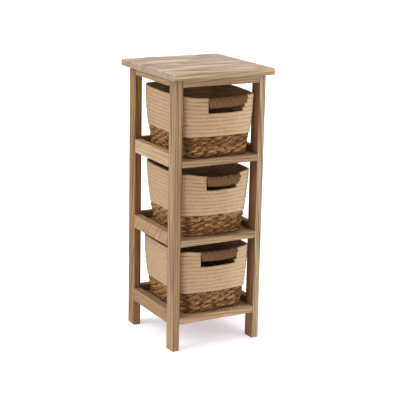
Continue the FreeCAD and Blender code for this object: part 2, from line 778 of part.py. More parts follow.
def build_frame():
    """Legs, rails, aprons, shelves, dowels, screws and top staves."""
    blanks = {}
    for end in ENDS:
        for side in SIDES:
            blanks[f"{end}_{side}_leg"] = leg(side, end)
    for side in SIDES:
        sizes_of = (side, "sizes.apron_thickness", "sizes.apron_height", APRON_BASE)
        blanks[f"{side}_apron"] = side_board(f"{side}_apron", *sizes_of)
        side_dowels(f"{side}_apron", *sizes_of, APRON_DOWEL_HEIGHT_SHARES)
    for end in ENDS:
        sizes_of = (end, "sizes.apron_thickness", "sizes.apron_height", APRON_BASE)
        blanks[f"{end}_apron"] = cross_board(f"{end}_apron", *sizes_of)
        cross_dowels(f"{end}_apron", end, middle_places(*sizes_of, APRON_DOWEL_HEIGHT_SHARES))
    for tier in TIERS:
        base = tier_base(tier)
        for side in SIDES:
            name = f"{tier}_{side}_rail"
            sizes_of = (side, "sizes.side_rail_thickness", "sizes.side_rail_height", base)
            blanks[name] = side_board(name, *sizes_of)
            side_dowels(name, *sizes_of, DOWEL_HEIGHT_SHARES)
        name = f"{tier}_front_rail"
        sizes_of = ("front", "sizes.front_rail_depth", "sizes.front_rail_height", front_rail_base(tier))
        blanks[name] = cross_board(name, *sizes_of)
        cross_dowels(name, "front", front_rail_places(front_rail_base(tier)))
        name = f"{tier}_back_rail"
        sizes_of = ("back", "sizes.back_rail_thickness", "sizes.back_rail_height", base)
        blanks[name] = cross_board(name, *sizes_of)
        cross_dowels(name, "back", middle_places(*sizes_of, DOWEL_HEIGHT_SHARES))
        shelf_seats(tier)
        shelf(tier)
    top_screws()
    for name, blank in blanks.items():
        blank.Label = f"{name}_blank"
        keep(bored(blank, name), name)
    for family, members in families.items():
        keep(group(f"{family}_group", members), family)
    staves(bored(top_board(), "top_board"))


def build_baskets():
    """The three baskets, each in five pieces."""
    for tier in TIERS:
        basket = Basket(tier)
        basket_base(basket)
        seagrass_band(basket)
        rope_wall(basket)
        grip_core(basket)
        grip_twine(basket)


def check():
    """Stop if any object failed to recompute or any piece has no valid shape."""
    doc.recompute()
    for thing in doc.Objects:
        if "Invalid" in thing.State or "Error" in thing.State:
            raise RuntimeError(f"{thing.Label} failed: {thing.State}")
    for node in nodes:
        if node.Shape.isNull() or not node.Shape.isValid() or not node.Shape.Solids:
            raise RuntimeError(f"{node.Label} has no valid solid")


def write():
    """One file for each piece, named after it."""
    os.makedirs("parts", exist_ok=True)
    for node in nodes:
        node.Shape.exportStep(f"parts/{node.Label}.step")


build_frame()
build_baskets()
check()
write()
for piece in nodes:
    print(f"{piece.Label}: {len(piece.Shape.Solids)} solids, {piece.Shape.Volume / CUBIC_MM_IN_CM:.2f} cm3")
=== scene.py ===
import bisect
import contextlib
import dataclasses
import math
import random

import bmesh
import bpy
from mathutils import Matrix, Vector


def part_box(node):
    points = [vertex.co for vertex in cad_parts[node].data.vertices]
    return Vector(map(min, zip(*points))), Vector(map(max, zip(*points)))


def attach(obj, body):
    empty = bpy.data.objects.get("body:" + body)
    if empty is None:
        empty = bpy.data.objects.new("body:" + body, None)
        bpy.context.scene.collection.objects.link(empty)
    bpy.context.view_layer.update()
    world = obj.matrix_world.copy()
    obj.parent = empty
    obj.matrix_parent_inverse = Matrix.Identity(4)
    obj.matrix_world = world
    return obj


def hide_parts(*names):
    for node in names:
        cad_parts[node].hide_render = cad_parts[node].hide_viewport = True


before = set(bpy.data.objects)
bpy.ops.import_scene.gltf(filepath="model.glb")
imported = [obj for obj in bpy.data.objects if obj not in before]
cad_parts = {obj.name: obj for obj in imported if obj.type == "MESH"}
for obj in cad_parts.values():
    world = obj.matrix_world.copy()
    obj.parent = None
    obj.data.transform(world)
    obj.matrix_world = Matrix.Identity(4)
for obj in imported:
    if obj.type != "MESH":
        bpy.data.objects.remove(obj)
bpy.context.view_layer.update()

bl_info = {
    "name": "Basket stand",
    "version": (1, 0, 0),
    "blender": (4, 5, 0),
    "location": "View3D > Sidebar > Basket stand",
    "description": "Wood finish, woven baskets and a plain studio for the three-tier basket stand",
    "category": "Object",
}

MM = 0.001
TURN = 2 * math.pi
TIERS = ("lower", "middle", "upper")
SIDES = ("left", "right")
ENDS = ("front", "back")
STAVES = 5

# The baskets' form, as the stand's solids have it; the corners, slumped by hand, go round from the back left
WALL = 9 * MM
CORNER_RADII = {
    "lower": (31 * MM, 26 * MM, 18 * MM, 26 * MM),
    "middle": (46 * MM, 26 * MM, 22 * MM, 36 * MM),
    "upper": (24 * MM, 24 * MM, 11 * MM, 24 * MM),
}
BOW = 2.5 * MM
SIDE_TAPER = {"lower": 22 * MM, "middle": 22 * MM, "upper": 19 * MM}
END_TAPER = 3 * MM
SIDE_DROP = 2 * MM
WALL_CURVE_POWER = {"lower": 1.9, "middle": 1.5, "upper": 1.8}
POINTS_PER_SIDE = 40
POINTS_PER_CORNER = 14
# Points that lie less than this behind the front edge belong to the front wall
FRONT_DEPTH = 40 * MM
# How the front rim of each basket sags: depth, middle and half length of the sag, and how blunt it is
FRONT_SAG = {
    "lower": (10 * MM, 15 * MM, 98 * MM, 2.0),
    "middle": (13.5 * MM, 15 * MM, 103 * MM, 2.0),
    "upper": (9.5 * MM, 20 * MM, 125 * MM, 3.0),
}
# How far the rim rises at the back, and at the right
BACK_RISE = {"lower": 2 * MM, "middle": 4.5 * MM, "upper": 6 * MM}
RIGHT_RISE = {"lower": 0, "middle": 0, "upper": 3 * MM}

# Strands: points closer than this are merged, and points this near an end belong to it
MERGE = 0.05 * MM
SAME_PLACE = 0.01 * MM
# The steps of a rounded end: their share of its length, and how far each is drawn in
ROUNDED_END = ((0.6, 0.9), (0.4, 0.72))

# The rope rows: their number, their section and how each leans and waves
ROPE_ROWS = {"lower": 11, "middle": 11, "upper": 10}
ROPE_POINTS = 12
ROPE_SQUARENESS = 0.42
ROPE_OVERLAP = 1.05
ROPE_ROUNDING = 0.3 * MM
ROPE_LEAN = 0.22
ROPE_LEAN_START = 9 * MM
ROPE_WAVE = 0.25 * MM
ROPE_WAVE_COUNTS = (9, 10, 11, 12)
# One turn of the cord that wraps a row: places along it, and the share of the rib's depth drawn in there
ROPE_TURN = ((0.22, 0.15), (0.5, 0), (0.78, 0.15), (1, 1))
# Points within this share of a turn from a row's end belong to the end, which isn't drawn in
ROPE_END_SHARE = 0.1
# How much of a row's crown is lost between two turns, at the seam of two rows and where those cross; the rope
# is painted darker where the crown is low, as painted shade
ROPE_VALLEY_WIDTH = 0.12
ROPE_VALLEY = 0.58
ROPE_SEAM = 0.30
ROPE_CROSSING = 0.2
ROPE_SEAM_POWER = 10
# A lay so long that a row isn't twisted, in ribs
UNTWISTED = 1000
# Painted shade on the front towards the rim, under the board or rail above: its strength in each tier, and
# the shares of the rows where it starts and where it is full
UNDER_SHADE = {"lower": 0.5, "middle": 1.1, "upper": 1.0}
UNDER_SHADE_START = 0.3
UNDER_SHADE_END = 0.7

# The seagrass bands. A strand's section is its lobes, the points of each, the share to which it is drawn
# in between them, and the rings in one turn
SEAGRASS_ROWS = 6
WEAVER_SECTION = (3, 4, 0.76, 20)
WEAVER_THICKNESS = 4.6 * MM
WEAVER_OVERLAP = 1.28
WEAVER_LAYS = (0.85, 1.15)
WEAVER_SHIFT = 0.35
WEAVER_UNEVENNESS = (0.85, 0.4)
WEAVER_WANDER = 0.9 * MM
WEAVER_WAVE_COUNTS = (5, 6, 7, 8)
WEAVER_SWELL = 0.16
STAKES_PER_SWELL = 4
FILLER_SECTION = (2, 3, 0.9, 12)
FILLER_THICKNESS = 2.6 * MM
FILLER_OVERLAP = 1.35
# The filler's tint, also its crown, which is low so that the finish paints it dark as painted shade
FILLER_TINT = 0.2
STAKE_SECTION = (2, 3, 0.75, 4)
STAKE_SIZE = (3.6 * MM, 5.0 * MM)
STAKE_TURNS = 2
STAKE_TINT = 0.5
STAKE_ROUNDING = 0.2 * MM
STAKE_FOOT_SHARE = 0.4
STAKE_SHARES = (0, 0.35, 0.7, 1)

# The plaited bases
BASE_TONE = 0.9
BORDER_SECTION = (3, 3, 0.74, 12)
BORDER_ROOM = 0.4 * MM
BORDER_TINT = 0.6
STRIP_THICKNESS = 3.2 * MM
STRIP_SWING = 1.8 * MM
STRIP_CROWN = 0.8 * MM
STRIP_ROOM = 1.5 * MM
STRIP_STEPS = 4
STRIP_LAY = 3
# How much crown a strip loses at its edges, where the finish paints shade
STRIP_EDGE = 0.8

# The grips, and how far the front wall's bow ends short of its sides on their line
GRIP_HALF_HEIGHT = 15 * MM
GRIP_HALF_DEPTH = 10.5 * MM
GRIP_BOW_END = 20 * MM
# How far the left and the right end of a grip are lifted from the rim's own line
GRIP_LIFT = {"lower": (3 * MM, 3 * MM), "middle": (0, -1.5 * MM), "upper": (0, 3.5 * MM)}
# How far short of the grip's right end each row beside it stops, from the hand slot up to the rim
GRIP_STEPS = {
    "lower": (9 * MM, 3 * MM, 3 * MM, 3 * MM),
    "middle": (14 * MM, 9 * MM, 4 * MM, 3 * MM),
    "upper": (17 * MM, 11 * MM, 4 * MM, 3 * MM),
}
GRIP_ROWS = 4
GRIP_ROW_LAP = 2.5 * MM
# Over what length the winding is drawn in at its right end, and how much of that its middle lifts
GRIP_DOMES = {"lower": (15 * MM, 0.6), "middle": (25 * MM, 0.8), "upper": (25 * MM, 0.8)}
GRIP_LEAST = 0.3
# The same at its left end, where the middle stays level
GRIP_START_DOME = 7 * MM
GRIP_START_LEAST = 0.6
# How far core and twine reach in behind the rope rows
GRIP_LAP = 5 * MM
BUNDLE_SECTION = (2, 4, 0.85, 8)
BUNDLE_SIZE = (7.4 * MM, 6.6 * MM)
BUNDLE_ROWS = (-1, 0, 1)
BUNDLE_PITCH = 5.6 * MM
BUNDLE_LAY = 13 * MM
BUNDLE_STEPS = 24
BUNDLE_TINT = 0.4
BUNDLE_SHADE = 0.5
BUNDLE_ROUNDING = 1 * MM
TWINE_SECTION = (3, 3, 0.80, 9)
TWINE_LOOSENESS = 0.3 * MM
TWINE_OVERRUN = 0.5 * MM
TWINE_SPACING = 1.03
TWINE_STEPS = 28
TWINE_SLANTS = (0.6 * MM, 2.6 * MM)
TWINE_TINT = 0.5
TWINE_ROUNDING = 2 * MM

# How the boards are sawn: the axes across each way of the grain, where the pith lies, how the grain leans
ACROSS_GRAIN = {"X": ("y", "z"), "Y": ("x", "z"), "Z": ("x", "y")}
PITH_AWAY = (28 * MM, 75 * MM)
PITH_ASIDE = 24 * MM
LEG_PITH_ASIDE = 14 * MM
GRAIN_LEAN = 0.06
GRAIN_LEAN_SHARES = (0.6, 1)
# How steeply the grain of the left rails runs out of the board
RAIL_LEANS = {"upper_left_rail": 0.04, "middle_left_rail": 1.1, "lower_left_rail": 0.45}
RING_WIDTHS = (8.5 * MM, 12 * MM)
RING_SHARES = {"X": 1, "Y": 0.75, "Z": 0.75}
SEEDS = (0, 40)
# The tone of like boards, of single boards and of the top's edges and ends: red, green and blue, as shares
EVEN_TONES = (0.92, 1.08)
END_RAIL_TONE = 1.02
SHELF_TONE = 0.9
BOARD_TONES = {
    "front_left_leg": (0.98, 1.05, 1.08), "back_left_leg": (0.80, 0.71, 0.53),
    "front_right_leg": (1.11, 1.25, 1.40), "back_right_leg": (0.95, 0.92, 0.85),
    "left_apron": (1.12, 1.26, 1.38), "front_apron": (1.08, 1.17, 1.24),
    "upper_left_rail": (1.20, 1.32, 1.42), "middle_left_rail": (1.05, 1.05, 1.02),
    "lower_left_rail": (0.90, 0.88, 0.82), "lower_front_rail": (1.25, 1.34, 1.42),
    "middle_front_rail": (1.01, 1.10, 1.18), "upper_front_rail": (0.87, 0.91, 0.97),
    "top_stave_1": (1.02, 1.02, 1.02), "top_stave_2": (1.03, 1.03, 1.03), "top_stave_3": (0.96, 0.96, 0.96),
    "top_stave_4": (1.04, 1.04, 1.04), "top_stave_5": (0.98, 0.98, 0.98),
}
STAVE_EDGE_TONES = (1.32, 1.55, 1.74)
END_GRAIN_TONES = (0.72, 0.71, 0.77)
# How strongly the dark lines of the grain show, by the way of the grain and on single boards
GRAIN_CONTRASTS = {"X": 1.0, "Y": 1.0, "Z": 1.25}
BOARD_CONTRASTS = {"upper_left_rail": 0.6, "back_left_leg": 1.6}
STAVE_CONTRAST = 0.62
DOWEL_CONTRAST = 0.4
DOWEL_LEAN = (0.02, 0.01)
DOWEL_RING = 4 * MM
DOWEL_SEED = 3.0
# Painted shade: faces painted darker than the rest of their board, the front of the front left leg and the
# inner faces of the right-hand boards: the axis that they face, and how dark they are
BOARD_FACE_SHADES = {"front_left_leg": ("y", 0.15), "front_right_leg": ("x", 0.6)}
RIGHT_FACE_SHADE = ("x", 0.45)
FACE_SHADE_TONES = (1, 0.6, 0.3)

# The finishes' patterns: waves in a metre along the grain or strand, and across the grain or round the strand
WOOD_SWIRL = (2.6, 12)
WOOD_DRIFT = (1.7, 7)
WOOD_DRIFT_SHIFT = 7
WOOD_FIBRE = (7, 330)
WOOD_PORE = (26, 1250)
WOOD_CAST = (3.5, 40)
ROPE_FIBRE = (70, 7)
ROPE_STITCH = (120, 2)
ROPE_DASH = (150, 1)
ROPE_CLOUD = (28, 28, 45)
SEAGRASS_BLADE = (34, 1.6)
SEAGRASS_STREAK = (45, 7)
SEAGRASS_FADE = (19, 1.2)
TWINE_FIBRE = (90, 6)
TWINE_DRIFT = (9, 1)
SCREW_MOTTLE = 900
FLOOR_MOTTLE = 3
# How far the growth rings wander across the board and through it, and how uneven their widths are
RING_WANDER = (20 * MM, 24 * MM)
RING_UNEVENNESS = 2.2
RING_WAVES = 70
RING_WAVES_ALONG = 0.8
# How dark one growth ring is, from its inner edge to its outer edge
LATE_WOOD = ((0, 0.0), (0.44, 0.05), (0.74, 0.36), (0.88, 1), (0.96, 0.55), (1, 0.0))
# Depth of the changes near a board's faces, edges, ends and glued joints, the painted sheen of the top face
# and the painted shade of a face among them
SHEEN_DEPTH = 5 * MM
END_FADE = 4 * MM
END_GRAIN_DEPTH = 2 * MM
JOINT_WIDTH = 4 * MM
JOINT_ROOM = 1 * MM
ARRIS_WIDTH = 2.6 * MM
FACE_SHADE_DEPTH = 2 * MM
# Where the painted light and shade on the baskets start, in the stand's frame: the start of each change, and
# its length
ROPE_FRONT = (-108 * MM, 12 * MM)
ROPE_LEG_SHADOW = (-97 * MM, 15 * MM)
ROPE_LEFT_SHADE = (25 * MM, 95 * MM)
ROPE_RIGHT_LIGHT = (25 * MM, 75 * MM)
SEAGRASS_LEFT_LIGHT = (-86 * MM, 8 * MM)
SEAGRASS_LEG_SHADOW = (-76 * MM, 14 * MM)
SEAGRASS_FRONT = (-110 * MM, 8 * MM)
# How far the fine grain of each finish stands out, and how little the dull fibres shine
WOOD_RELIEF = 0.35 * MM
ROPE_RELIEF = 0.4 * MM
FIBRE_RELIEF = 0.5 * MM
SCREW_RELIEF = 0.05 * MM
DULL = 0.12
SCREW_DARK = (0.50, 0.50, 0.48)
SCREW_PALE = (0.66, 0.66, 0.64)
# The painted shadow under the stand, where the floor glows dimmer: its middle, its inner and outer radius,
# and how dim it is
FLOOR_SHADE_MIDDLE = (-60 * MM, -30 * MM)
FLOOR_SHADE_RADII = (100 * MM, 300 * MM)
FLOOR_SHADE = 0.84


def held(value):
    """A value held between 0 and 1."""
    return min(max(value, 0), 1)


def domed(least, distance, length):
    """Size of a rounded end, from its least share at the tip to 1 at a length from it."""
    past = held(1 - distance / length)
    return least + (1 - least) * math.sqrt(1 - past ** 2)


def toned(colour, *shares):
    """A colour made darker or paler: all of it by one share, or red, green and blue each by its own."""
    shares = shares if len(shares) == 3 else shares * 3
    return tuple(part * share for part, share in zip(colour, shares))


class BasketForm:
    """Outline of one basket at any height above its base, in metres."""

    def __init__(self, tier):
        self.tier = tier
        self.body = f"{tier}_basket"
        base_low, base_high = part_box(f"{tier}_basket_base")
        wall_low, wall_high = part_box(f"{tier}_rope_wall")
        self.floor = base_low.z
        self.base_top = base_high.z - self.floor
        self.band_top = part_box(f"{tier}_seagrass_band")[1].z - self.floor
        self.rim = wall_high.z - self.floor
        self.half_width = wall_high.x - BOW
        self.front = wall_low.y + BOW
        self.back = wall_high.y - BOW
        core_low, core_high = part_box(f"{tier}_grip_core")
        self.gap = (core_low.x, core_high.x)

    def spread(self, height):
        """How far the wall has opened out, from 0 at the base to 1 at the rim."""
        return 1 - (1 - held(height / self.rim)) ** WALL_CURVE_POWER[self.tier]

    def reach(self, height, inset):
        """Half width, front and back of the outline at a height."""
        closed = 1 - self.spread(height)
        half = self.half_width - SIDE_TAPER[self.tier] * closed - inset
        front = self.front + END_TAPER * closed + inset
        back = self.back - END_TAPER * closed - inset
        return half, front, back

    def drop(self, x, y):
        """How far the rim sinks at a place."""
        depth, middle, half_length, bluntness = FRONT_SAG[self.tier]
        sag = depth * max(0, 1 - abs((x - middle) / half_length) ** bluntness)
        along = (2 * y - self.front - self.back) / (self.back - self.front)
        side = SIDE_DROP * (1 - min(along ** 2, 1)) * abs(x / self.half_width) ** 4
        rise = BACK_RISE[self.tier] * max(0, along) ** 4
        rise += RIGHT_RISE[self.tier] * max(0, x / self.half_width) ** 4
        return sag * max(0, -along) ** 2 - rise + side

    def level(self, x, y, height):
        """The z of a row at a place: each row follows the sinking rim by its share."""
        sink = max(height - self.base_top, 0) / (self.rim - self.base_top)
        return self.floor + height - sink * self.drop(x, y)

    def outline(self, height, inset):
        """Points once round the basket, from the middle of the back to the left, anticlockwise from above."""
        half, front, back = self.reach(height, inset)
        radii = [radius - inset for radius in CORNER_RADII[self.tier]]
        middle = (front + back) / 2
        flat = []
        sides = (
            ((0, back), (-1, 0), half),
            ((-half, middle), (0, -1), (back - front) / 2),
            ((0, front), (1, 0), half),
            ((half, middle), (0, 1), (back - front) / 2),
        )
        for corner, ((x, y), (way_x, way_y), run) in enumerate(sides):
            radius = radii[corner]
            first, last = radii[corner - 1] - run, run - radius
            for index in range(POINTS_PER_SIDE):
                share = index / (POINTS_PER_SIDE - 1)
                swell = BOW * (1 - (2 * share - 1) ** 2)
                step = first + (last - first) * share
                flat.append((x + way_x * step + way_y * swell, y + way_y * step - way_x * swell))
            centre = (x + way_x * last - way_y * radius, y + way_y * last + way_x * radius)
            start = math.atan2(-way_x, way_y)
            for index in range(1, POINTS_PER_CORNER):
                angle = start + math.pi / 2 * index / POINTS_PER_CORNER
                flat.append((centre[0] + radius * math.cos(angle), centre[1] + radius * math.sin(angle)))
        half_side = POINTS_PER_SIDE // 2
        flat = flat[half_side:] + flat[:half_side]
        return [Vector((x, y, self.level(x, y, height))) for x, y in flat]

    def open_outline(self, height, inset, left, right):
        """The outline without the stretch of the front wall from left to right."""
        ring = self.outline(height, inset)
        front = self.reach(height, inset)[1]
        gap = [
            index for index, point in enumerate(ring)
            if left < point.x < right and point.y < front + FRONT_DEPTH
        ]
        first, last = gap[0], gap[-1]
        points = ring[last + 1:] + ring[:first]
        start, end = [
            inner.lerp(outer, (x - inner.x) / (outer.x - inner.x))
            for inner, outer, x in ((ring[last], points[0], right), (ring[first], points[-1], left))
        ]
        return [start, *points, end]

    def crowding(self, points):
        """How much closer than at the level corners the rows lie, at distances along a line."""
        stops, shares = [0.0], []
        for before, after in zip(points, points[1:] + points[-1:]):
            shares.append(1 - self.drop(before.x, before.y) / (self.rim - self.base_top))
            stops.append(stops[-1] + (after - before).length)
        return stops[1:], shares

    def grip_line(self, x):
        """A point of the grip's middle line, which follows the sagging rim."""
        height = self.rim - GRIP_HALF_HEIGHT
        half, front, _ = self.reach(height, 0)
        share = min(abs(x) / (half - GRIP_BOW_END), 1)
        y = front - BOW * (1 - share ** 2) + WALL / 2
        left, right = GRIP_LIFT[self.tier]
        lift = left + (right - left) * (x - self.gap[0]) / (self.gap[1] - self.gap[0])
        return Vector((x, y, self.floor + height - self.drop(x, y) + lift))

    def grip_end(self, x):
        """How far the grip is drawn in near its right end, and by what share of its rise it lifts."""
        dome, lift = GRIP_DOMES[self.tier]
        draw = domed(GRIP_LEAST, self.gap[1] - x, dome)
        return draw, (1 - draw) * lift


class StandColours(bpy.types.PropertyGroup):
    """Colours of the wood and of the baskets' fibres."""

    wood_pale: bpy.props.FloatVectorProperty(
        name="Pale wood", description="Early wood of legs, rails and aprons",
        default=(0.445, 0.31, 0.175), subtype="COLOR", min=0, max=1)
    wood_line: bpy.props.FloatVectorProperty(
        name="Grain line", description="Late wood, the dark lines of the grain",
        default=(0.155, 0.080, 0.034), subtype="COLOR", min=0, max=1)
    wood_blush: bpy.props.FloatVectorProperty(
        name="Blush", description="Greyish cast that drifts over the wood",
        default=(0.365, 0.25, 0.142), subtype="COLOR", min=0, max=1)
    # Painted sheen: the staves' top face is painted in this and the top blush, paler than their other faces,
    # partly for the light that glances off it
    top_pale: bpy.props.FloatVectorProperty(
        name="Pale top", description="Early wood of the top's staves, bleached by light",
        default=(0.655, 0.57, 0.485), subtype="COLOR", min=0, max=1)
    top_blush: bpy.props.FloatVectorProperty(
        name="Top blush", description="Pinkish cast that drifts over the top's staves",
        default=(0.56, 0.46, 0.41), subtype="COLOR", min=0, max=1)
    rope: bpy.props.FloatVectorProperty(
        name="Rope", description="Cream of the wrapped rope rows",
        default=(0.528, 0.388, 0.242), subtype="COLOR", min=0, max=1)
    # Painted shade: the rope is painted towards this colour in the grooves between turns and at the seams of
    # rows; the grip core also takes it as its own colour
    rope_groove: bpy.props.FloatVectorProperty(
        name="Rope groove", description="Rope between two turns of its wrapping",
        default=(0.26, 0.135, 0.060), subtype="COLOR", min=0, max=1)
    seagrass_straw: bpy.props.FloatVectorProperty(
        name="Seagrass straw", description="Sunlit blades of the seagrass",
        default=(0.380, 0.224, 0.104), subtype="COLOR", min=0, max=1)
    seagrass_shade: bpy.props.FloatVectorProperty(
        name="Seagrass shade", description="Dark blades of the seagrass",
        default=(0.052, 0.026, 0.012), subtype="COLOR", min=0, max=1)
    twine: bpy.props.FloatVectorProperty(
        name="Twine", description="Twine that is wound round the grips",
        default=(0.222, 0.134, 0.072), subtype="COLOR", min=0, max=1)


class StandWeave(bpy.types.PropertyGroup):
    """Sizes of rope, seagrass and twine."""

    rope_rib: bpy.props.FloatProperty(
        name="Rope rib", description="Length of one turn of the cord that wraps a rope row",
        default=6.7 * MM, unit="LENGTH", precision=4)
    rope_rib_depth: bpy.props.FloatProperty(
        name="Rope rib depth",
        description="How far the rope is drawn in between two turns, as a share of its size",
        default=0.10, min=0, max=0.5)
    seagrass_lay: bpy.props.FloatProperty(
        name="Seagrass lay", description="Length in which a seagrass weaver turns once",
        default=92 * MM, unit="LENGTH", precision=4)
    stakes: bpy.props.IntProperty(
        name="Stakes", description="Upright stakes round the seagrass band, an even number",
        default=40, min=20)
    weave_depth: bpy.props.FloatProperty(
        name="Weave depth", description="How far a weaver swings in and out round the stakes",
        default=2.4 * MM, unit="LENGTH", precision=4)
    twine_thickness: bpy.props.FloatProperty(
        name="Twine thickness", description="Twine that is wound round the grips",
        default=7.0 * MM, unit="LENGTH", precision=4)
    twine_lay: bpy.props.FloatProperty(
        name="Twine lay", description="Length in which the twine's strands turn once",
        default=15 * MM, unit="LENGTH", precision=4)
    base_strip: bpy.props.FloatProperty(
        name="Base strip", description="Width of the plaited strips of the base",
        default=12.4 * MM, unit="LENGTH", precision=4)


class StandStudio(bpy.types.PropertyGroup):
    """Light and floor."""

    sky: bpy.props.FloatProperty(
        name="Sky", description="Brightness of the surroundings", default=0.32, min=0)
    sky_colour: bpy.props.FloatVectorProperty(
        name="Sky colour", description="Warm cast of the surroundings",
        default=(1, 0.86, 0.70), subtype="COLOR", min=0, max=1)
    left_light: bpy.props.FloatProperty(
        name="Left light", description="Strength of the broad light from the left", default=2.7, min=0)
    front_light: bpy.props.FloatProperty(
        name="Front light", description="Strength of the broad light from the front", default=1.38, min=0)
    top_light: bpy.props.FloatProperty(
        name="Top light", description="Strength of the broad light from above", default=1.05, min=0)
    eye_colour: bpy.props.FloatVectorProperty(
        name="Eye colour", description="Colour of the small light beside the camera",
        default=(1, 0.80, 0.62), subtype="COLOR", min=0, max=1)
    eye_light: bpy.props.FloatProperty(
        name="Eye light", description="Strength of the small light beside the camera", default=0.44, min=0)
    contrast: bpy.props.FloatProperty(
        name="Contrast", description="Gamma of the finished picture, lower for deeper shades",
        default=0.88, min=0.1)
    breadth: bpy.props.FloatProperty(
        name="Breadth", description="How broad the three large lights look from the stand",
        default=math.radians(50), subtype="ANGLE", min=0, max=math.pi)
    floor: bpy.props.FloatVectorProperty(
        name="Floor", description="Pale floor", default=(0.615, 0.605, 0.645), subtype="COLOR", min=0, max=1)
    floor_glow: bpy.props.FloatProperty(
        name="Floor glow", description="Light that the lit photo table gives off itself", default=0.56, min=0)


class Value:
    """A shader socket that can stand in a sum."""

    def __init__(self, finish, socket):
        self.finish = finish
        self.socket = socket

    def _sum(self, operation, first, second):
        return self.finish.node("ShaderNodeMath", {"operation": operation}, {0: first, 1: second})

    def __add__(self, other):
        return self._sum("ADD", self, other)

    def __sub__(self, other):
        return self._sum("SUBTRACT", self, other)

    def __rsub__(self, other):
        return self._sum("SUBTRACT", other, self)

    def __mul__(self, other):
        return self._sum("MULTIPLY", self, other)

    def __truediv__(self, other):
        return self._sum("DIVIDE", self, other)

    def __pow__(self, other):
        return self._sum("POWER", self, other)

    def most(self, other):
        return self._sum("MAXIMUM", self, other)

    def size(self):
        return self.finish.node("ShaderNodeMath", {"operation": "ABSOLUTE"}, {0: self})

    def fraction(self):
        return self.finish.node("ShaderNodeMath", {"operation": "FRACT"}, {0: self})

    def clamped(self):
        return self.finish.node("ShaderNodeClamp", {}, {"Value": self})

    __radd__ = __add__
    __rmul__ = __mul__


class Finish:
    """One material, built node by node."""

    def __init__(self, name):
        self.material = bpy.data.materials.new(name)
        self.material.use_nodes = True
        self.tree = self.material.node_tree
        self.tree.nodes.clear()

    def node(self, kind, settings=None, sockets=None, out=0):
        """Add a node, set it up, then fill its sockets with values or links."""
        made = self.tree.nodes.new(kind)
        for name, value in (settings or {}).items():
            if name == "stops":
                self.set_stops(made.color_ramp, value)
            else:
                setattr(made, name, value)
        for key, value in (sockets or {}).items():
            if isinstance(value, Value):
                self.tree.links.new(value.socket, made.inputs[key])
            else:
                made.inputs[key].default_value = value
        return Value(self, made.outputs[out]) if made.outputs else None

    @staticmethod
    def set_stops(ramp, stops):
        while len(ramp.elements) < len(stops):
            ramp.elements.new(1)
        for element, (place, shade) in zip(ramp.elements, stops):
            element.position = place
            element.color = (*shade, 1) if isinstance(shade, tuple) else (shade, shade, shade, 1)

    def place(self):
        """Object coordinates, as three values."""
        coordinates = self.node("ShaderNodeTexCoord", out="Object")
        return [self.node("ShaderNodeSeparateXYZ", {}, {0: coordinates}, out=axis) for axis in "XYZ"]

    def vector(self, *parts):
        return self.node("ShaderNodeCombineXYZ", {}, dict(enumerate(parts)))

    def noise(self, where, detail, roughness=0.5):
        settings = {"noise_dimensions": "3D"}
        sockets = {"Vector": where, "Scale": 1.0, "Detail": detail, "Roughness": roughness}
        return self.node("ShaderNodeTexNoise", settings, sockets)

    def drawn_noise(self, ways, waves, shifts=(0, 0), **settings):
        """Noise drawn out along the first of three ways, with its waves along and across, and moved."""
        along, across, rise = ways
        where = self.vector(along * waves[0] + shifts[0], across * waves[1] + shifts[1], rise * waves[1])
        return self.noise(where, **settings)

    def ramp(self, value, *stops):
        return self.node("ShaderNodeValToRGB", {"stops": stops}, {0: value})

    def below(self, value, change, least, most):
        """A share that goes from least to most as a value falls: the change has a start and a length."""
        start, length = change
        return self.ramp((start - value) / length, (0, least), (1, most))

    def above(self, value, change, least, most):
        """A share that goes from least to most as a value rises."""
        start, length = change
        return self.ramp((value - start) / length, (0, least), (1, most))

    def mix(self, share, first, second, blend="MIX"):
        """A mix of two colours."""
        settings = {"data_type": "RGBA", "blend_type": blend}
        first = first if isinstance(first, Value) else (*first, 1)
        second = second if isinstance(second, Value) else (*second, 1)
        return self.node("ShaderNodeMix", settings, {0: share, 6: first, 7: second}, out=2)

    def attribute(self, name, out):
        return self.node("ShaderNodeAttribute", {"attribute_name": name}, out=out)

    def strand(self):
        """Three values that run along a strand and round it, and how far out a point lies."""
        lay = self.attribute("lay", "Vector")
        ways = [self.node("ShaderNodeSeparateXYZ", {}, {0: lay}, out=axis) for axis in "XYZ"]
        return ways, self.attribute("crown", "Fac")

    def surface(
            self, colour, roughness, height=None, strength=0.5, distance=FIBRE_RELIEF, shine=0.5,
            **constants):
        """Close the material with its surface shader."""
        sockets = {"Base Color": colour, "Roughness": roughness, "Specular IOR Level": shine}
        for name, value in constants.items():
            sockets[name.replace("_", " ").title()] = value
        if height is not None:
            bump = {"Strength": strength, "Distance": distance, "Height": height}
            sockets["Normal"] = self.node("ShaderNodeBump", {}, bump)
        shader = self.node("ShaderNodeBsdfPrincipled", {}, sockets)
        self.node("ShaderNodeOutputMaterial", {}, {0: shader})
        return self.material


@dataclasses.dataclass
class Board:
    """How one board is sawn, and its colours."""

    name: str
    grain: str
    box: tuple
    pith: tuple
    lean: tuple
    ring: float
    seed: float
    shades: list
    contrast: float
    # Painted shade on one face, and painted sheen on the top face
    face_shade: tuple = None
    sheened: tuple = None
    joints: tuple = ()


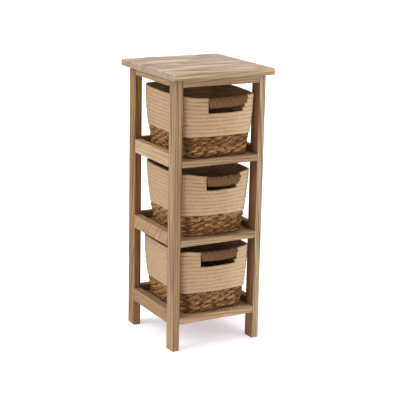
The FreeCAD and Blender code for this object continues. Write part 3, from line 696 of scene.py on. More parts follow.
def wood_finish(board):
    """Sawn timber: growth rings round a leaning pith, with pores, dark arrises and a cast; some boards get
    painted shade on one face, and the top staves get painted sheen on their top face.
    """
    pale, blush, line = board.shades
    low, high = board.box
    middle, half = (low + high) / 2, (high - low) / 2
    finish = Finish(board.name)
    x, y, z = finish.place()
    grain = {"X": (x, y, z), "Y": (y, x, z), "Z": (z, x, y)}[board.grain]
    along, across, rise = grain
    swirl = finish.drawn_noise(grain, WOOD_SWIRL, (board.seed, 0), detail=3)
    drift = finish.drawn_noise(grain, WOOD_DRIFT, (-board.seed, WOOD_DRIFT_SHIFT), detail=2)
    side = across - board.pith[0] + along * board.lean[0] + (swirl - 0.5) * RING_WANDER[0]
    depth = rise - board.pith[1] + along * board.lean[1] + (drift - 0.5) * RING_WANDER[1]
    radius = (side * side + depth * depth) ** 0.5
    uneven = finish.noise(finish.vector(radius * RING_WAVES, board.seed, along * RING_WAVES_ALONG), detail=2)
    late = finish.ramp((radius / board.ring + uneven * RING_UNEVENNESS).fraction(), *LATE_WOOD)
    fibre = finish.drawn_noise(grain, WOOD_FIBRE, (board.seed, 0), detail=3, roughness=0.6)
    pores = finish.ramp(finish.drawn_noise(grain, WOOD_PORE, (0, board.seed), detail=2), (0.56, 0), (0.70, 1))
    cast = finish.ramp(finish.drawn_noise(grain, WOOD_CAST, (0, board.seed), detail=2), (0.38, 0), (0.62, 1))
    ground = finish.mix(cast, pale, blush)
    contrast = board.contrast
    # Painted sheen: the top face is painted in paler colours, partly for the light that glances off it; the
    # grain fades towards the stave's ends
    if board.sheened:
        level, upper_pale, upper_blush = board.sheened
        top_sheen = finish.ramp((z - level) / SHEEN_DEPTH + 1, (0.35, 0), (0.9, 1))
        ground = finish.mix(top_sheen, ground, finish.mix(cast, upper_pale, upper_blush))
        end = half.x - (x - middle.x).size()
        contrast = contrast * finish.ramp(end / END_FADE, (0, 0.2), (1, 1))
    streaked = finish.mix(finish.ramp(fibre, (0.36, 0), (0.72, 0.7)), ground, line)
    grained = finish.mix(late * contrast * (0.5 + uneven * 0.9), streaked, line)
    colour = finish.mix(pores * 0.34, grained, toned(line, 0.6))
    for joint in board.joints:
        gap = finish.ramp((y - joint).size() / JOINT_WIDTH, (0.15, 0.7), (1, 0))
        colour = finish.mix(gap * top_sheen, colour, toned(line, 0.8))
    if board.sheened:
        ended = finish.ramp(end / END_GRAIN_DEPTH, (0.2, 1), (0.8, 0))
        colour = finish.mix(ended, colour, END_GRAIN_TONES, "MULTIPLY")
    inward = [
        getattr(half, axis) - (place - getattr(middle, axis)).size()
        for place, axis in zip((across, rise), ACROSS_GRAIN[board.grain])
    ]
    arris = finish.ramp(inward[0].most(inward[1]) / ARRIS_WIDTH, (0.3, 0.5), (1, 0))
    colour = finish.mix(arris * (1 - late * 0.4), colour, toned(line, 0.9))
    # Painted shade: the face at the low end of the axis is painted darker
    if board.face_shade:
        axis, share = board.face_shade
        inset = ({"x": x, "y": y}[axis] - getattr(low, axis)) / FACE_SHADE_DEPTH
        shaded_face = finish.ramp(inset, (0.35, share), (0.8, 0))
        colour = finish.mix(shaded_face, colour, toned(line, *FACE_SHADE_TONES))
    roughness = 0.56 + fibre * 0.2 - late * 0.06
    height = 0.6 - pores * 0.5 - late * 0.25 + fibre * 0.3
    return finish.surface(colour, roughness, height, strength=0.45, distance=WOOD_RELIEF)


def rope_finish():
    """Cream cord wrapped round each rope row, with painted shade between its turns, at the front left corner
    by the leg, under the boards, on the left of the front and inside the low rows, and painted light on the
    right of the front.
    """
    colours = bpy.context.scene.stand_colours
    rope = tuple(colours.rope)
    finish = Finish("wrapped_rope")
    ways, crown = finish.strand()
    tint = finish.attribute("tint", "Fac")
    rim_shade = finish.attribute("shade", "Fac")
    x, y, z = finish.place()
    fibre = finish.drawn_noise(ways, ROPE_FIBRE, (tint * 40, 0), detail=3, roughness=0.65)
    stitch = finish.drawn_noise(ways, ROPE_STITCH, (0, tint * 40), detail=2)
    dash = finish.drawn_noise(ways, ROPE_DASH, (tint * 60, 0), detail=1)
    clouds = [place * waves for place, waves in zip((x, y, z), ROPE_CLOUD)]
    cloud = finish.noise(finish.vector(*clouds), detail=2)
    front = finish.below(y, ROPE_FRONT, 0, 1)
    # Painted shadow of the front left leg on the front left corner, weaker on the left wall
    corner = finish.below(x, ROPE_LEG_SHADOW, 0, 0.6) * finish.below(y, ROPE_FRONT, 0.45, 1)
    # Painted shade on the left of the front wall, and painted light on its right
    painted_left_shade = finish.below(x, ROPE_LEFT_SHADE, 0, 0.17) * front
    painted_right_light = finish.above(x, ROPE_RIGHT_LIGHT, 0, 1) * front
    # Painted shade on the front under the board or rail above, none towards the right
    under = rim_shade * front * (1 - painted_right_light) * 0.2
    # Painted shade on the inner side of the lower rows, deep in the basket
    inner_shade = finish.ramp(ways[1], (0.1, 0), (0.6, 0.65)) * (1 - rim_shade * 2).most(0) ** 2
    # Painted shade in the grooves between turns and at the seams of the rows, in dashes
    groove = (1 - crown) ** 1.6 * (0.4 + dash)
    coats = (
        ((fibre - 0.25) * 0.55, toned(rope, 0.66)),
        (tint * 0.18, toned(rope, 0.78)),
        (finish.ramp(stitch, (0.42, 0), (0.66, 0.5)), toned(rope, 0.6)),
        (corner, toned(rope, 0.45)),
        (under, toned(rope, 0.5, 0.4, 0.1)),
        (painted_left_shade, toned(rope, 0.5)),
        (painted_right_light * 0.42, toned(rope, 1.32, 1.5, 1.8)),
        (inner_shade, toned(rope, 0.12)),
        (groove, colours.rope_groove),
    )
    colour = finish.mix(cloud, toned(rope, 1, 0.97, 0.92), toned(rope, 0.98, 1, 1.1))
    for share, coat in coats:
        colour = finish.mix(share, colour, coat)
    height = fibre * 0.6 + crown * 0.4
    return finish.surface(colour, 0.82 + fibre * 0.12, height, strength=0.35, distance=ROPE_RELIEF)


def seagrass_finish(name, straw, shade):
    """Dried blades, streaked along the strand, from straw to dark brown, with painted shade in the hollows
    between lobes and at the front left corner by the leg, and painted light on the left side.
    """
    finish = Finish(name)
    ways, crown = finish.strand()
    tint = finish.attribute("tint", "Fac")
    x, y, _ = finish.place()
    blade = finish.drawn_noise(ways, SEAGRASS_BLADE, (tint * 37, 0), detail=2, roughness=0.6)
    streak = finish.drawn_noise(ways, SEAGRASS_STREAK, (0, tint * 11), detail=3, roughness=0.7)
    faded = finish.drawn_noise(ways, SEAGRASS_FADE, (tint * 53, 0), detail=1)
    blend = (blade * 1.7 + streak * 0.75 + tint * 0.30 - 0.93).clamped()
    ruddy = toned([(a + b) / 2 for a, b in zip(straw, shade)], 1.12, 0.92, 0.8)
    pale = tuple(min(part, 1) for part in toned(straw, 1.3))
    ash = toned(straw, 0.80, 1.04, 1.2)
    # Painted shadow of the front left leg on the front left corner of the band
    corner = finish.below(x, SEAGRASS_LEG_SHADOW, 0, 0.6) * finish.below(y, SEAGRASS_FRONT, 0, 1)
    coats = (
        (finish.ramp(faded, (0.52, 0), (0.66, 0.55)) * blend, ash),
        # Painted light on the left side of the band
        (finish.below(x, SEAGRASS_LEFT_LIGHT, 0, 0.34), pale),
        (corner, toned(shade, 0.8)),
        # Painted shade in the hollows between the lobes of each strand
        ((1 - crown) ** 1.4 * 0.72, toned(shade, 0.5)),
    )
    colour = finish.ramp(blend, (0.16, tuple(shade)), (0.38, ruddy), (0.60, tuple(straw)), (0.86, pale))
    for share, coat in coats:
        colour = finish.mix(share, colour, coat)
    height = streak * 0.7 + blade * 0.3
    return finish.surface(colour, 0.55 + streak * 0.3, height, shine=DULL)


def twine_finish():
    """Dull brown twine with loose fibres, with painted shade in the hollows between its strands."""
    twine = tuple(bpy.context.scene.stand_colours.twine)
    finish = Finish("grip_twine")
    ways, crown = finish.strand()
    fibre = finish.drawn_noise(ways, TWINE_FIBRE, detail=3, roughness=0.7)
    drift = finish.drawn_noise(ways, TWINE_DRIFT, detail=2)
    base = finish.mix(drift, toned(twine, 0.82), toned(twine, 1.2))
    rubbed = finish.mix((fibre - 0.4) * 1.1, base, toned(twine, 1.75))
    # Painted shade in the hollows between the strands
    colour = finish.mix((1 - crown) ** 1.2 * 0.85, rubbed, toned(twine, 0.3))
    return finish.surface(colour, 0.78 + fibre * 0.18, fibre, shine=DULL)


def steel_finish():
    """Zinc-plated screws with a slightly mottled plating."""
    finish = Finish("screw_zinc")
    mottle = finish.noise(finish.vector(*[place * SCREW_MOTTLE for place in finish.place()]), detail=3)
    colour = finish.mix(mottle, SCREW_DARK, SCREW_PALE)
    roughness = 0.3 + mottle * 0.2
    return finish.surface(colour, roughness, mottle, strength=0.15, distance=SCREW_RELIEF, metallic=1.0)


def floor_finish():
    """Pale lit and glowing floor with the faintest mottle, and a painted shadow under the stand where its
    glow is dimmer.
    """
    studio = bpy.context.scene.stand_studio
    floor = tuple(studio.floor)
    finish = Finish("pale_floor")
    x, y, z = finish.place()
    mottle = finish.noise(finish.vector(x * FLOOR_MOTTLE, y * FLOOR_MOTTLE, z), detail=2)
    colour = finish.mix(mottle, floor, [min(part, 1) for part in toned(floor, 1.02)])
    aside, ahead = x - FLOOR_SHADE_MIDDLE[0], y - FLOOR_SHADE_MIDDLE[1]
    away = (aside * aside + ahead * ahead) ** 0.5
    inner, outer = FLOOR_SHADE_RADII
    # Painted shadow: the glow is dimmer under the stand
    lit = finish.mix(1.0, colour, finish.ramp(away, (inner, FLOOR_SHADE), (outer, 1)), "MULTIPLY")
    glow = studio.floor_glow / max(floor)
    return finish.surface(colour, 0.75 + mottle * 0.1, emission_color=lit, emission_strength=glow)


def start_afresh():
    """Leave edit mode and deselect everything."""
    if bpy.context.mode != "OBJECT":
        bpy.ops.object.mode_set(mode="OBJECT")
    bpy.ops.object.select_all(action="DESELECT")


def pick(piece):
    """Make a piece the only selected one."""
    start_afresh()
    piece.select_set(True)
    bpy.context.view_layer.objects.active = piece


def use_modifier(piece, kind, **settings):
    """Add a modifier, set it up and apply it."""
    pick(piece)
    bpy.ops.object.modifier_add(type=kind)
    modifier = piece.modifiers[-1]
    for name, value in settings.items():
        setattr(modifier, name, value)
    bpy.ops.object.modifier_apply(modifier=modifier.name)


def select_points(piece, test):
    """In edit mode, select the points that the test picks."""
    bpy.ops.mesh.select_mode(type="VERT")
    bpy.ops.mesh.select_all(action="DESELECT")
    shape = bmesh.from_edit_mesh(piece.data)
    for index, point in enumerate(shape.verts):
        point.select = test(index, point.co)
    shape.select_flush(True)
    bmesh.update_edit_mesh(piece.data)


@contextlib.contextmanager
def editing(piece):
    """Work on a piece in edit mode, at first with all of it selected."""
    pick(piece)
    bpy.ops.object.mode_set(mode="EDIT")
    bpy.ops.mesh.select_all(action="SELECT")
    yield
    bpy.ops.object.mode_set(mode="OBJECT")


def ring(name, points):
    """A ring of points across the X axis, one metre wide."""
    start_afresh()
    bpy.ops.mesh.primitive_circle_add(
        vertices=points, radius=0.5, fill_type="NOTHING", rotation=(0, math.pi / 2, 0))
    piece = bpy.context.object
    piece.name = name
    bpy.ops.object.transform_apply(location=False, rotation=True, scale=False)
    return piece


def strand(name, width, height, section, length, turns, hand=1):
    """A straight twisted strand along +X from the origin: a lobed ring, swept by a screw."""
    lobes, points, draw_in, steps = section
    lay = length / turns
    piece = ring(name, lobes * points)
    with editing(piece):
        select_points(piece, lambda index, place: index % points == 0)
        bpy.ops.transform.resize(value=(1, draw_in, draw_in), center_override=(0, 0, 0))
    use_modifier(
        piece, "SCREW", axis="X", angle=hand * TURN, screw_offset=lay, steps=steps, render_steps=steps,
        iterations=turns, use_merge_vertices=False)
    note_lay(piece, hand * lay)
    with editing(piece):
        bpy.ops.transform.resize(value=(1, width, height), center_override=(0, 0, 0))
        bpy.ops.mesh.normals_make_consistent(inside=False)
    return piece


def ribbed_row(width, height, rib, ribs, depth):
    """A straight rope row along +X from the origin: one turn of its wrapping cord, repeated."""
    piece = ring("rope_row", ROPE_POINTS)
    for point in piece.data.vertices:
        point.co.y = math.copysign(abs(2 * point.co.y) ** ROPE_SQUARENESS / 2 * width, point.co.y)
        point.co.z = math.copysign(abs(2 * point.co.z) ** ROPE_SQUARENESS / 2 * height, point.co.z)
    with editing(piece):
        bpy.ops.transform.resize(value=(1, 1 - depth, 1 - depth), center_override=(0, 0, 0))
        reached, drawn = 0, 1 - depth
        for share, drawn_in in ROPE_TURN:
            draw = 1 - depth * drawn_in
            step, change = (share - reached) * rib, draw / drawn
            bpy.ops.mesh.extrude_region_move(TRANSFORM_OT_translate={"value": (step, 0, 0)})
            bpy.ops.transform.resize(value=(1, change, change), center_override=(share * rib, 0, 0))
            reached, drawn = share, draw
    use_modifier(
        piece, "ARRAY", count=ribs, use_relative_offset=False, use_constant_offset=True,
        constant_offset_displace=(rib, 0, 0), use_merge_vertices=True, merge_threshold=MERGE)
    for point in piece.data.vertices:
        if point.co.x < ROPE_END_SHARE * rib or point.co.x > (ribs - ROPE_END_SHARE) * rib:
            point.co.y /= 1 - depth
            point.co.z /= 1 - depth
    note_lay(piece, rib * UNTWISTED)
    crowns = [rope_crown(point.co, height, rib, ribs) for point in piece.data.vertices]
    piece.data.attributes["crown"].data.foreach_set("value", crowns)
    with editing(piece):
        bpy.ops.mesh.normals_make_consistent(inside=False)
    return piece


def rope_crown(place, height, rib, ribs):
    """How far out a point of a rope row lies, from 0 in the deepest groove to 1."""
    share = place.x / rib % 1
    valley = 0
    if rib / 2 < place.x < (ribs - 0.5) * rib:
        valley = math.exp(-(min(share, 1 - share) / ROPE_VALLEY_WIDTH) ** 2)
    seam = min(abs(2 * place.z / height), 1) ** ROPE_SEAM_POWER
    return max(1 - ROPE_VALLEY * valley - ROPE_SEAM * seam - ROPE_CROSSING * seam * valley, 0)


def note_lay(piece, lay):
    """Keep on each point how far along the strand it is, its place in the twist and how far out it lies."""
    mesh = piece.data
    radii = [math.hypot(point.co.y, point.co.z) for point in mesh.vertices]
    low, high = min(radii), max(radii)
    places = []
    crowns = []
    for point, radius in zip(mesh.vertices, radii):
        angle = math.atan2(point.co.z, point.co.y) - TURN * point.co.x / lay
        places += [point.co.x, math.cos(angle), math.sin(angle)]
        crowns.append((radius - low) / max(high - low, 1e-6))
    mesh.attributes.new("lay", "FLOAT_VECTOR", "POINT").data.foreach_set("vector", places)
    mesh.attributes.new("crown", "FLOAT", "POINT").data.foreach_set("value", crowns)


def note_value(piece, name, value):
    """Keep one value of a strand on all its points."""
    mesh = piece.data
    values = [value] * len(mesh.vertices)
    mesh.attributes.new(name, "FLOAT", "POINT").data.foreach_set("value", values)


def move_points(piece, shift):
    """Move each point of a strand by what the function gives for its place."""
    for point in piece.data.vertices:
        point.co += shift(point.co)
    piece.data.update()


def round_ends(piece, length, rounding):
    """Draw in and close both ends of a straight strand."""
    with editing(piece):
        for end, way in ((0, -1), (length, 1)):
            select_points(piece, lambda index, place: abs(place.x - end) < SAME_PLACE)
            for share, draw in ROUNDED_END:
                bpy.ops.mesh.extrude_region_move(
                    TRANSFORM_OT_translate={"value": (way * share * rounding, 0, 0)})
                bpy.ops.transform.resize(value=(1, draw, draw), center_override=(end, 0, 0))
            bpy.ops.mesh.edge_face_add()


def run_length(points, closed):
    """Length of a line through points."""
    pairs = zip(points, points[1:] + points[:1] if closed else points[1:])
    return sum((after - before).length for before, after in pairs)


def resample(points, count):
    """A number of points at equal steps along a closed line."""
    step = run_length(points, True) / count
    found = []
    travelled = 0.0
    for before, after in zip(points, points[1:] + points[:1]):
        stretch = (after - before).length
        while len(found) < count and len(found) * step <= travelled + stretch:
            found.append(before.lerp(after, (len(found) * step - travelled) / stretch))
        travelled += stretch
    return found


def follow(piece, points, closed, twist="Z_UP"):
    """Lay a straight strand along a line through points."""
    curve = bpy.data.curves.new("guide", "CURVE")
    curve.dimensions = "3D"
    curve.twist_mode = twist
    spline = curve.splines.new("POLY")
    spline.points.add(len(points) - 1)
    spline.points.foreach_set("co", [part for point in points for part in (*point, 1)])
    spline.use_cyclic_u = closed
    guide = bpy.data.objects.new("guide", curve)
    bpy.context.scene.collection.objects.link(guide)
    use_modifier(piece, "CURVE", object=guide, deform_axis="POS_X")
    bpy.data.objects.remove(guide)
    bpy.data.curves.remove(curve)
    if closed:
        with editing(piece):
            bpy.ops.mesh.remove_doubles(threshold=MERGE)
            bpy.ops.mesh.normals_make_consistent(inside=False)


def join(pieces, name):
    """Make several strands one piece."""
    pick(pieces[0])
    for piece in pieces:
        piece.select_set(True)
    if len(pieces) > 1:
        bpy.ops.object.join()
    whole = bpy.context.object
    with editing(whole):
        bpy.ops.mesh.normals_make_consistent(inside=False)
    whole.name = name
    whole.data.name = name
    bpy.ops.object.shade_smooth()
    return whole


def settle(piece, body, slot, material, *nodes):
    """Give a finished piece its material and its body, and hide the nodes that it stands for."""
    piece.data.materials.clear()
    piece.data.materials.append(material)
    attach(piece, body)
    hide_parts(*nodes)


def paint(node, material):
    """Put a material on a solid of the stand."""
    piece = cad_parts[node]
    if not piece.material_slots:
        piece.data.materials.append(material)
    for place in piece.material_slots:
        place.material = material


class STAND_OT_wood(bpy.types.Operator):
    """Give legs, rails, aprons, shelves, top staves and dowels their timber"""

    bl_idname = "stand.wood"
    bl_label = "Finish the wood"

    def execute(self, context):
        chance = random.Random(31)
        colours = context.scene.stand_colours
        for node, grain, tone in self.boards():
            paint(node, wood_finish(self.sawn(node, grain, tone, colours, chance)))
        dowel_shades = [tuple(shade) for shade in (colours.top_pale, colours.top_pale, colours.wood_blush)]
        dowels = wood_finish(Board(
            "dowel_beech", "Z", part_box("left_frame_dowels"), (0, 0), DOWEL_LEAN, DOWEL_RING, DOWEL_SEED,
            dowel_shades, DOWEL_CONTRAST))
        for place in SIDES + ENDS:
            paint(f"{place}_frame_dowels", dowels)
        return {"FINISHED"}

    @staticmethod
    def boards():
        """Every board, the way that its grain runs and its tone against the others."""
        boards = [(f"{end}_{side}_leg", "Z", 1.0) for end in ENDS for side in SIDES]
        boards += [(f"{side}_apron", "Y", 1.0) for side in SIDES]
        boards += [(f"{end}_apron", "X", 1.0) for end in ENDS]
        for tier in TIERS:
            boards += [(f"{tier}_{side}_rail", "Y", 1.0) for side in SIDES]
            boards += [(f"{tier}_{end}_rail", "X", END_RAIL_TONE) for end in ENDS]
            boards.append((f"{tier}_shelf", "X", SHELF_TONE))
        boards += [(f"top_stave_{index}", "X", 1.0) for index in range(1, STAVES + 1)]
        return boards

    @staticmethod
    def sawn(node, grain, tone, colours, chance):
        """One board as the saw has left it, with painted shade on one face of some boards and painted sheen
        on the top face of the staves.
        """
        low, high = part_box(node)
        middle = (low + high) / 2
        across, rise = ACROSS_GRAIN[grain]
        away = chance.uniform(*PITH_AWAY)
        aside = chance.uniform(-PITH_ASIDE, PITH_ASIDE)
        pith = (getattr(middle, across) + aside, getattr(middle, rise) - away)
        if grain == "Z":
            pith = (middle.x - away, middle.y + math.copysign(max(abs(aside), LEG_PITH_ASIDE), aside))
        first_lean = chance.uniform(-GRAIN_LEAN, GRAIN_LEAN)
        second_lean = chance.choice((-GRAIN_LEAN, GRAIN_LEAN)) * chance.uniform(*GRAIN_LEAN_SHARES)
        lean = (first_lean, RAIL_LEANS.get(node, second_lean))
        even = chance.uniform(*EVEN_TONES)
        hue = toned(BOARD_TONES.get(node, (even, even, even)), tone)
        shades = [toned(shade, *hue) for shade in (colours.wood_pale, colours.wood_blush, colours.wood_line)]
        ring_width = chance.uniform(*RING_WIDTHS) * RING_SHARES[grain]
        # Painted shade on one face, for the listed boards and for every right-hand board
        board = Board(
            f"{node}_timber", grain, (low, high), pith, lean, ring_width, chance.uniform(*SEEDS), shades,
            BOARD_CONTRASTS.get(node, GRAIN_CONTRASTS[grain]),
            BOARD_FACE_SHADES.get(node, RIGHT_FACE_SHADE if "right" in node else None))
        if node.startswith("top_stave"):
            top_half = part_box("top_stave_5")[1].y
            board.contrast = STAVE_CONTRAST
            board.shades[:2] = [toned(shade, *STAVE_EDGE_TONES) for shade in shades[:2]]
            # Painted sheen on the top face
            board.sheened = (high.z, toned(colours.top_pale, *hue), toned(colours.top_blush, *hue))
            board.joints = tuple(edge for edge in (low.y, high.y) if abs(edge) < top_half - JOINT_ROOM)
        return board


class STAND_OT_screws(bpy.types.Operator):
    """Give the screws under the top their zinc"""

    bl_idname = "stand.screws"
    bl_label = "Finish the screws"

    def execute(self, context):
        paint("top_screws", steel_finish())
        return {"FINISHED"}


class STAND_OT_rope_walls(bpy.types.Operator):
    """Model the wrapped rope rows of the three baskets"""

    bl_idname = "stand.rope_walls"
    bl_label = "Make the rope walls"

    def execute(self, context):
        weave = context.scene.stand_weave
        material = rope_finish()
        chance = random.Random(7)
        for tier in TIERS:
            form = BasketForm(tier)
            count = ROPE_ROWS[tier]
            pitch = (form.rim - form.band_top) / count
            rows = []
            for index in range(count):
                height = form.band_top + (index + 0.5) * pitch
                rope = self.row(form, height, pitch, index - count + GRIP_ROWS, weave, chance)
                # Painted shade under the board above, stronger on the rows near the rim
                near_rim = (index / count - UNDER_SHADE_START) / (UNDER_SHADE_END - UNDER_SHADE_START)
                note_value(rope, "shade", UNDER_SHADE[tier] * held(near_rim))
                rows.append(rope)
            wall = join(rows, f"{tier}_rope_rows")
            settle(wall, form.body, "rope", material, f"{tier}_rope_wall")
        return {"FINISHED"}

    @staticmethod
    def row(form, height, pitch, beside, weave, chance):
        """One rope row: closed round the basket, or open at the grip if it is one of the rows beside it."""
        gapped = beside >= 0
        if gapped:
            left, right = form.gap
            right -= GRIP_STEPS[form.tier][beside]
            points = form.open_outline(height, WALL / 2, left - GRIP_ROW_LAP, right + ROPE_ROUNDING)
        else:
            points = form.outline(height, WALL / 2)
        length = run_length(points, not gapped)
        stops, shares = form.crowding(points)
        ribs = round(length / weave.rope_rib)
        rope = ribbed_row(WALL, pitch * ROPE_OVERLAP, length / ribs, ribs, weave.rope_rib_depth)
        note_value(rope, "tint", chance.random())
        if gapped:
            round_ends(rope, length, ROPE_ROUNDING)
        start = chance.uniform(0, TURN)
        waves = TURN / length * chance.choice(ROPE_WAVE_COUNTS)

        def settle_row(place):
            end = min(place.x, length - place.x) / ROPE_LEAN_START if gapped else 1
            lean = ROPE_LEAN * place.z * held(end) ** 2
            share = shares[min(bisect.bisect(stops, place.x), len(shares) - 1)]
            wave = ROPE_WAVE * math.sin(waves * place.x + start)
            return Vector((lean, wave, place.z * (share - 1) + wave))

        move_points(rope, settle_row)
        follow(rope, points, not gapped)
        return rope


class STAND_OT_seagrass(bpy.types.Operator):
    """Model the plaited seagrass bands: weavers that swing in and out round upright stakes"""

    bl_idname = "stand.seagrass"
    bl_label = "Make the seagrass bands"

    def execute(self, context):
        weave = context.scene.stand_weave
        colours = context.scene.stand_colours
        material = seagrass_finish("seagrass_plait", colours.seagrass_straw, colours.seagrass_shade)
        chance = random.Random(19)
        for tier in TIERS:
            form = BasketForm(tier)
            pitch = (form.band_top - form.base_top) / SEAGRASS_ROWS
            pieces = []
            order = chance.sample(range(SEAGRASS_ROWS), SEAGRASS_ROWS)
            for index in range(SEAGRASS_ROWS):
                height = form.base_top + (index + 0.5) * pitch
                piece = self.weaver(form, height, pitch, index, weave, chance)
                note_value(piece, "tint", (order[index] + 0.5) / SEAGRASS_ROWS)
                pieces.append(piece)
            for index in range(SEAGRASS_ROWS + 1):
                pieces.append(self.filler(form, form.base_top + index * pitch, pitch, weave))
            pieces += self.stakes(form, weave, chance)
            band = join(pieces, f"{tier}_seagrass_weave")
            settle(band, form.body, "seagrass", material, f"{tier}_seagrass_band")
        return {"FINISHED"}

    @staticmethod
    def weaver(form, height, pitch, index, weave, chance):
        """One weaver round the basket."""
        points = form.outline(height, WALL / 2)
        length = run_length(points, True)
        turns = round(length / weave.seagrass_lay * chance.uniform(*WEAVER_LAYS))
        piece = strand(
            "weaver", WEAVER_THICKNESS, pitch * WEAVER_OVERLAP, WEAVER_SECTION, length, turns, hand=-1)
        swing = TURN / (2 * length / weave.stakes)
        shift = math.pi * (index % 2) + chance.uniform(-WEAVER_SHIFT, WEAVER_SHIFT)
        slow = TURN / length * chance.choice(WEAVER_WAVE_COUNTS)
        swell = TURN / length * (weave.stakes // STAKES_PER_SWELL)
        start = chance.uniform(0, TURN)
        evenness, unevenness = WEAVER_UNEVENNESS

        def bend(place):
            uneven = evenness + unevenness * math.sin(slow * place.x * 2 + 2 * start)
            depth = weave.weave_depth * uneven * math.cos(swing * place.x + shift)
            wander = WEAVER_WANDER * math.sin(slow * place.x + start)
            fullness = WEAVER_SWELL * math.sin(swell * place.x + start)
            return Vector((0, depth + place.y * fullness, wander + place.z * fullness))

        move_points(piece, bend)
        follow(piece, points, True)
        return piece

    @staticmethod
    def filler(form, height, pitch, weave):
        """One cord behind two weavers, which closes the band between them; it is dark with painted shade."""
        points = form.outline(height, WALL / 2)
        length = run_length(points, True)
        turns = round(length / weave.seagrass_lay)
        piece = strand("filler", FILLER_THICKNESS, pitch * FILLER_OVERLAP, FILLER_SECTION, length, turns)
        note_value(piece, "tint", FILLER_TINT)
        # Painted shade: a low crown all along makes the finish paint the whole cord dark
        crowns = [FILLER_TINT] * len(piece.data.vertices)
        piece.data.attributes["crown"].data.foreach_set("value", crowns)
        follow(piece, points, True)
        return piece

    @staticmethod
    def stakes(form, weave, chance):
        """The upright stakes."""
        foot = form.base_top * STAKE_FOOT_SHARE
        heights = [foot + share * (form.band_top - foot) for share in STAKE_SHARES]
        rings = [resample(form.outline(height, WALL / 2), weave.stakes) for height in heights]
        made = []
        for points in zip(*rings):
            length = run_length(points, False)
            piece = strand("stake", *STAKE_SIZE, STAKE_SECTION, length, STAKE_TURNS)
            note_value(piece, "tint", chance.random() * STAKE_TINT)
            round_ends(piece, length, STAKE_ROUNDING)
            follow(piece, points, False, "MINIMUM")
            made.append(piece)
        return made


class STAND_OT_bases(bpy.types.Operator):
    """Model the plaited bases of the three baskets"""

    bl_idname = "stand.bases"
    bl_label = "Make the basket bases"

    def execute(self, context):
        weave = context.scene.stand_weave
        colours = context.scene.stand_colours
        straw, shade = [toned(part, BASE_TONE) for part in (colours.seagrass_straw, colours.seagrass_shade)]
        material = seagrass_finish("base_plait", straw, shade)
        chance = random.Random(43)
        for tier in TIERS:
            form = BasketForm(tier)
            height = form.base_top / 2
            half, front, back = form.reach(height, WALL / 2)
            pieces = [self.border(form, height, weave, chance)]
            middle = (front + back) / 2
            pieces += self.strips(form, half, (back - front) / 2, middle, False, weave, chance)
            pieces += self.strips(form, (back - front) / 2, half, middle, True, weave, chance)
            base = join(pieces, f"{tier}_base_plait")
            settle(base, form.body, "seagrass", material, f"{tier}_basket_base")
        return {"FINISHED"}

    @staticmethod
    def border(form, height, weave, chance):
        """The thick twisted strand round the base."""
        points = form.outline(height, WALL / 2)
        length = run_length(points, True)
        turns = round(length / weave.seagrass_lay)
        thick = form.base_top - BORDER_ROOM
        piece = strand("border", thick, thick, BORDER_SECTION, length, turns, hand=-1)
        note_value(piece, "tint", chance.random() * BORDER_TINT)
        follow(piece, points, True)
        return piece

    def strips(self, form, half_run, half_span, middle, turned, weave, chance):
        """Strips that cross the base one way, over and under those that cross it the other way."""
        count, cross_count = [round(2 * half / weave.base_strip) for half in (half_span, half_run)]
        pitch, cross_pitch = 2 * half_span / count, 2 * half_run / cross_count
        made = []
        for index in range(count):
            place = (index - (count - 1) / 2) * pitch
            first, last = self.reaches(form, half_run, half_span, place, turned)
            strip = self.flat_strip(first, last, pitch, cross_pitch)
            note_value(strip, "tint", chance.random())
            phase = index + (cross_count - 1) / 2 + (1 if turned else 0)

            def swing(spot):
                wave = math.cos(math.pi * (spot.x / cross_pitch + phase))
                crowned = -STRIP_CROWN * (2 * spot.y / pitch) ** 2
                return Vector((0, 0, STRIP_SWING * wave + crowned))

            move_points(strip, swing)
            use_modifier(strip, "SOLIDIFY", thickness=STRIP_THICKNESS, offset=0)
            level = form.floor + form.base_top / 2
            if turned:
                strip.data.transform(Matrix.Rotation(math.pi / 2, 4, "Z"))
                strip.data.transform(Matrix.Translation((place, middle, level)))
            else:
                strip.data.transform(Matrix.Translation((0, middle + place, level)))
            made.append(strip)
        return made

    @staticmethod
    def reaches(form, half_run, half_span, place, turned):
        """How far a strip runs from the middle both ways before it meets the rounded outline."""
        back_left, front_left, front_right, back_right = CORNER_RADII[form.tier]
        if turned:
            radii = (front_right, back_right) if place > 0 else (front_left, back_left)
        else:
            radii = (back_left, back_right) if place > 0 else (front_left, front_right)
        found = []
        for radius in [outer - WALL / 2 for outer in radii]:
            past = max(abs(place) - half_span + radius, 0)
            found.append(half_run - radius + math.sqrt(max(radius ** 2 - past ** 2, 0)) - STRIP_ROOM)
        return found

    @staticmethod
    def flat_strip(first, last, width, cross_pitch):
        """A flat strip along X, with its lay and its crown kept on its points; the crown is low at the edges,
        where the finish paints shade.
        """
        start_afresh()
        steps = int((first + last) / cross_pitch * STRIP_STEPS)
        bpy.ops.mesh.primitive_grid_add(x_subdivisions=steps, y_subdivisions=STRIP_STEPS, size=1)
        strip = bpy.context.object
        strip.name = "strip"
        strip.scale = (first + last, width, 1)
        bpy.ops.object.transform_apply(location=False, rotation=False, scale=True)
        mesh = strip.data
        mesh.transform(Matrix.Translation(((last - first) / 2, 0, 0)))
        lays, crowns = [], []
        for point in mesh.vertices:
            share = point.co.y / width
            lays += [point.co.x, STRIP_LAY * share, math.cos(share)]
            # Painted shade at the strip's edges, through a lower crown
            crowns.append(1 - (2 * share) ** 4 * STRIP_EDGE)
        mesh.attributes.new("lay", "FLOAT_VECTOR", "POINT").data.foreach_set("vector", lays)
        mesh.attributes.new("crown", "FLOAT", "POINT").data.foreach_set("value", crowns)
        return strip


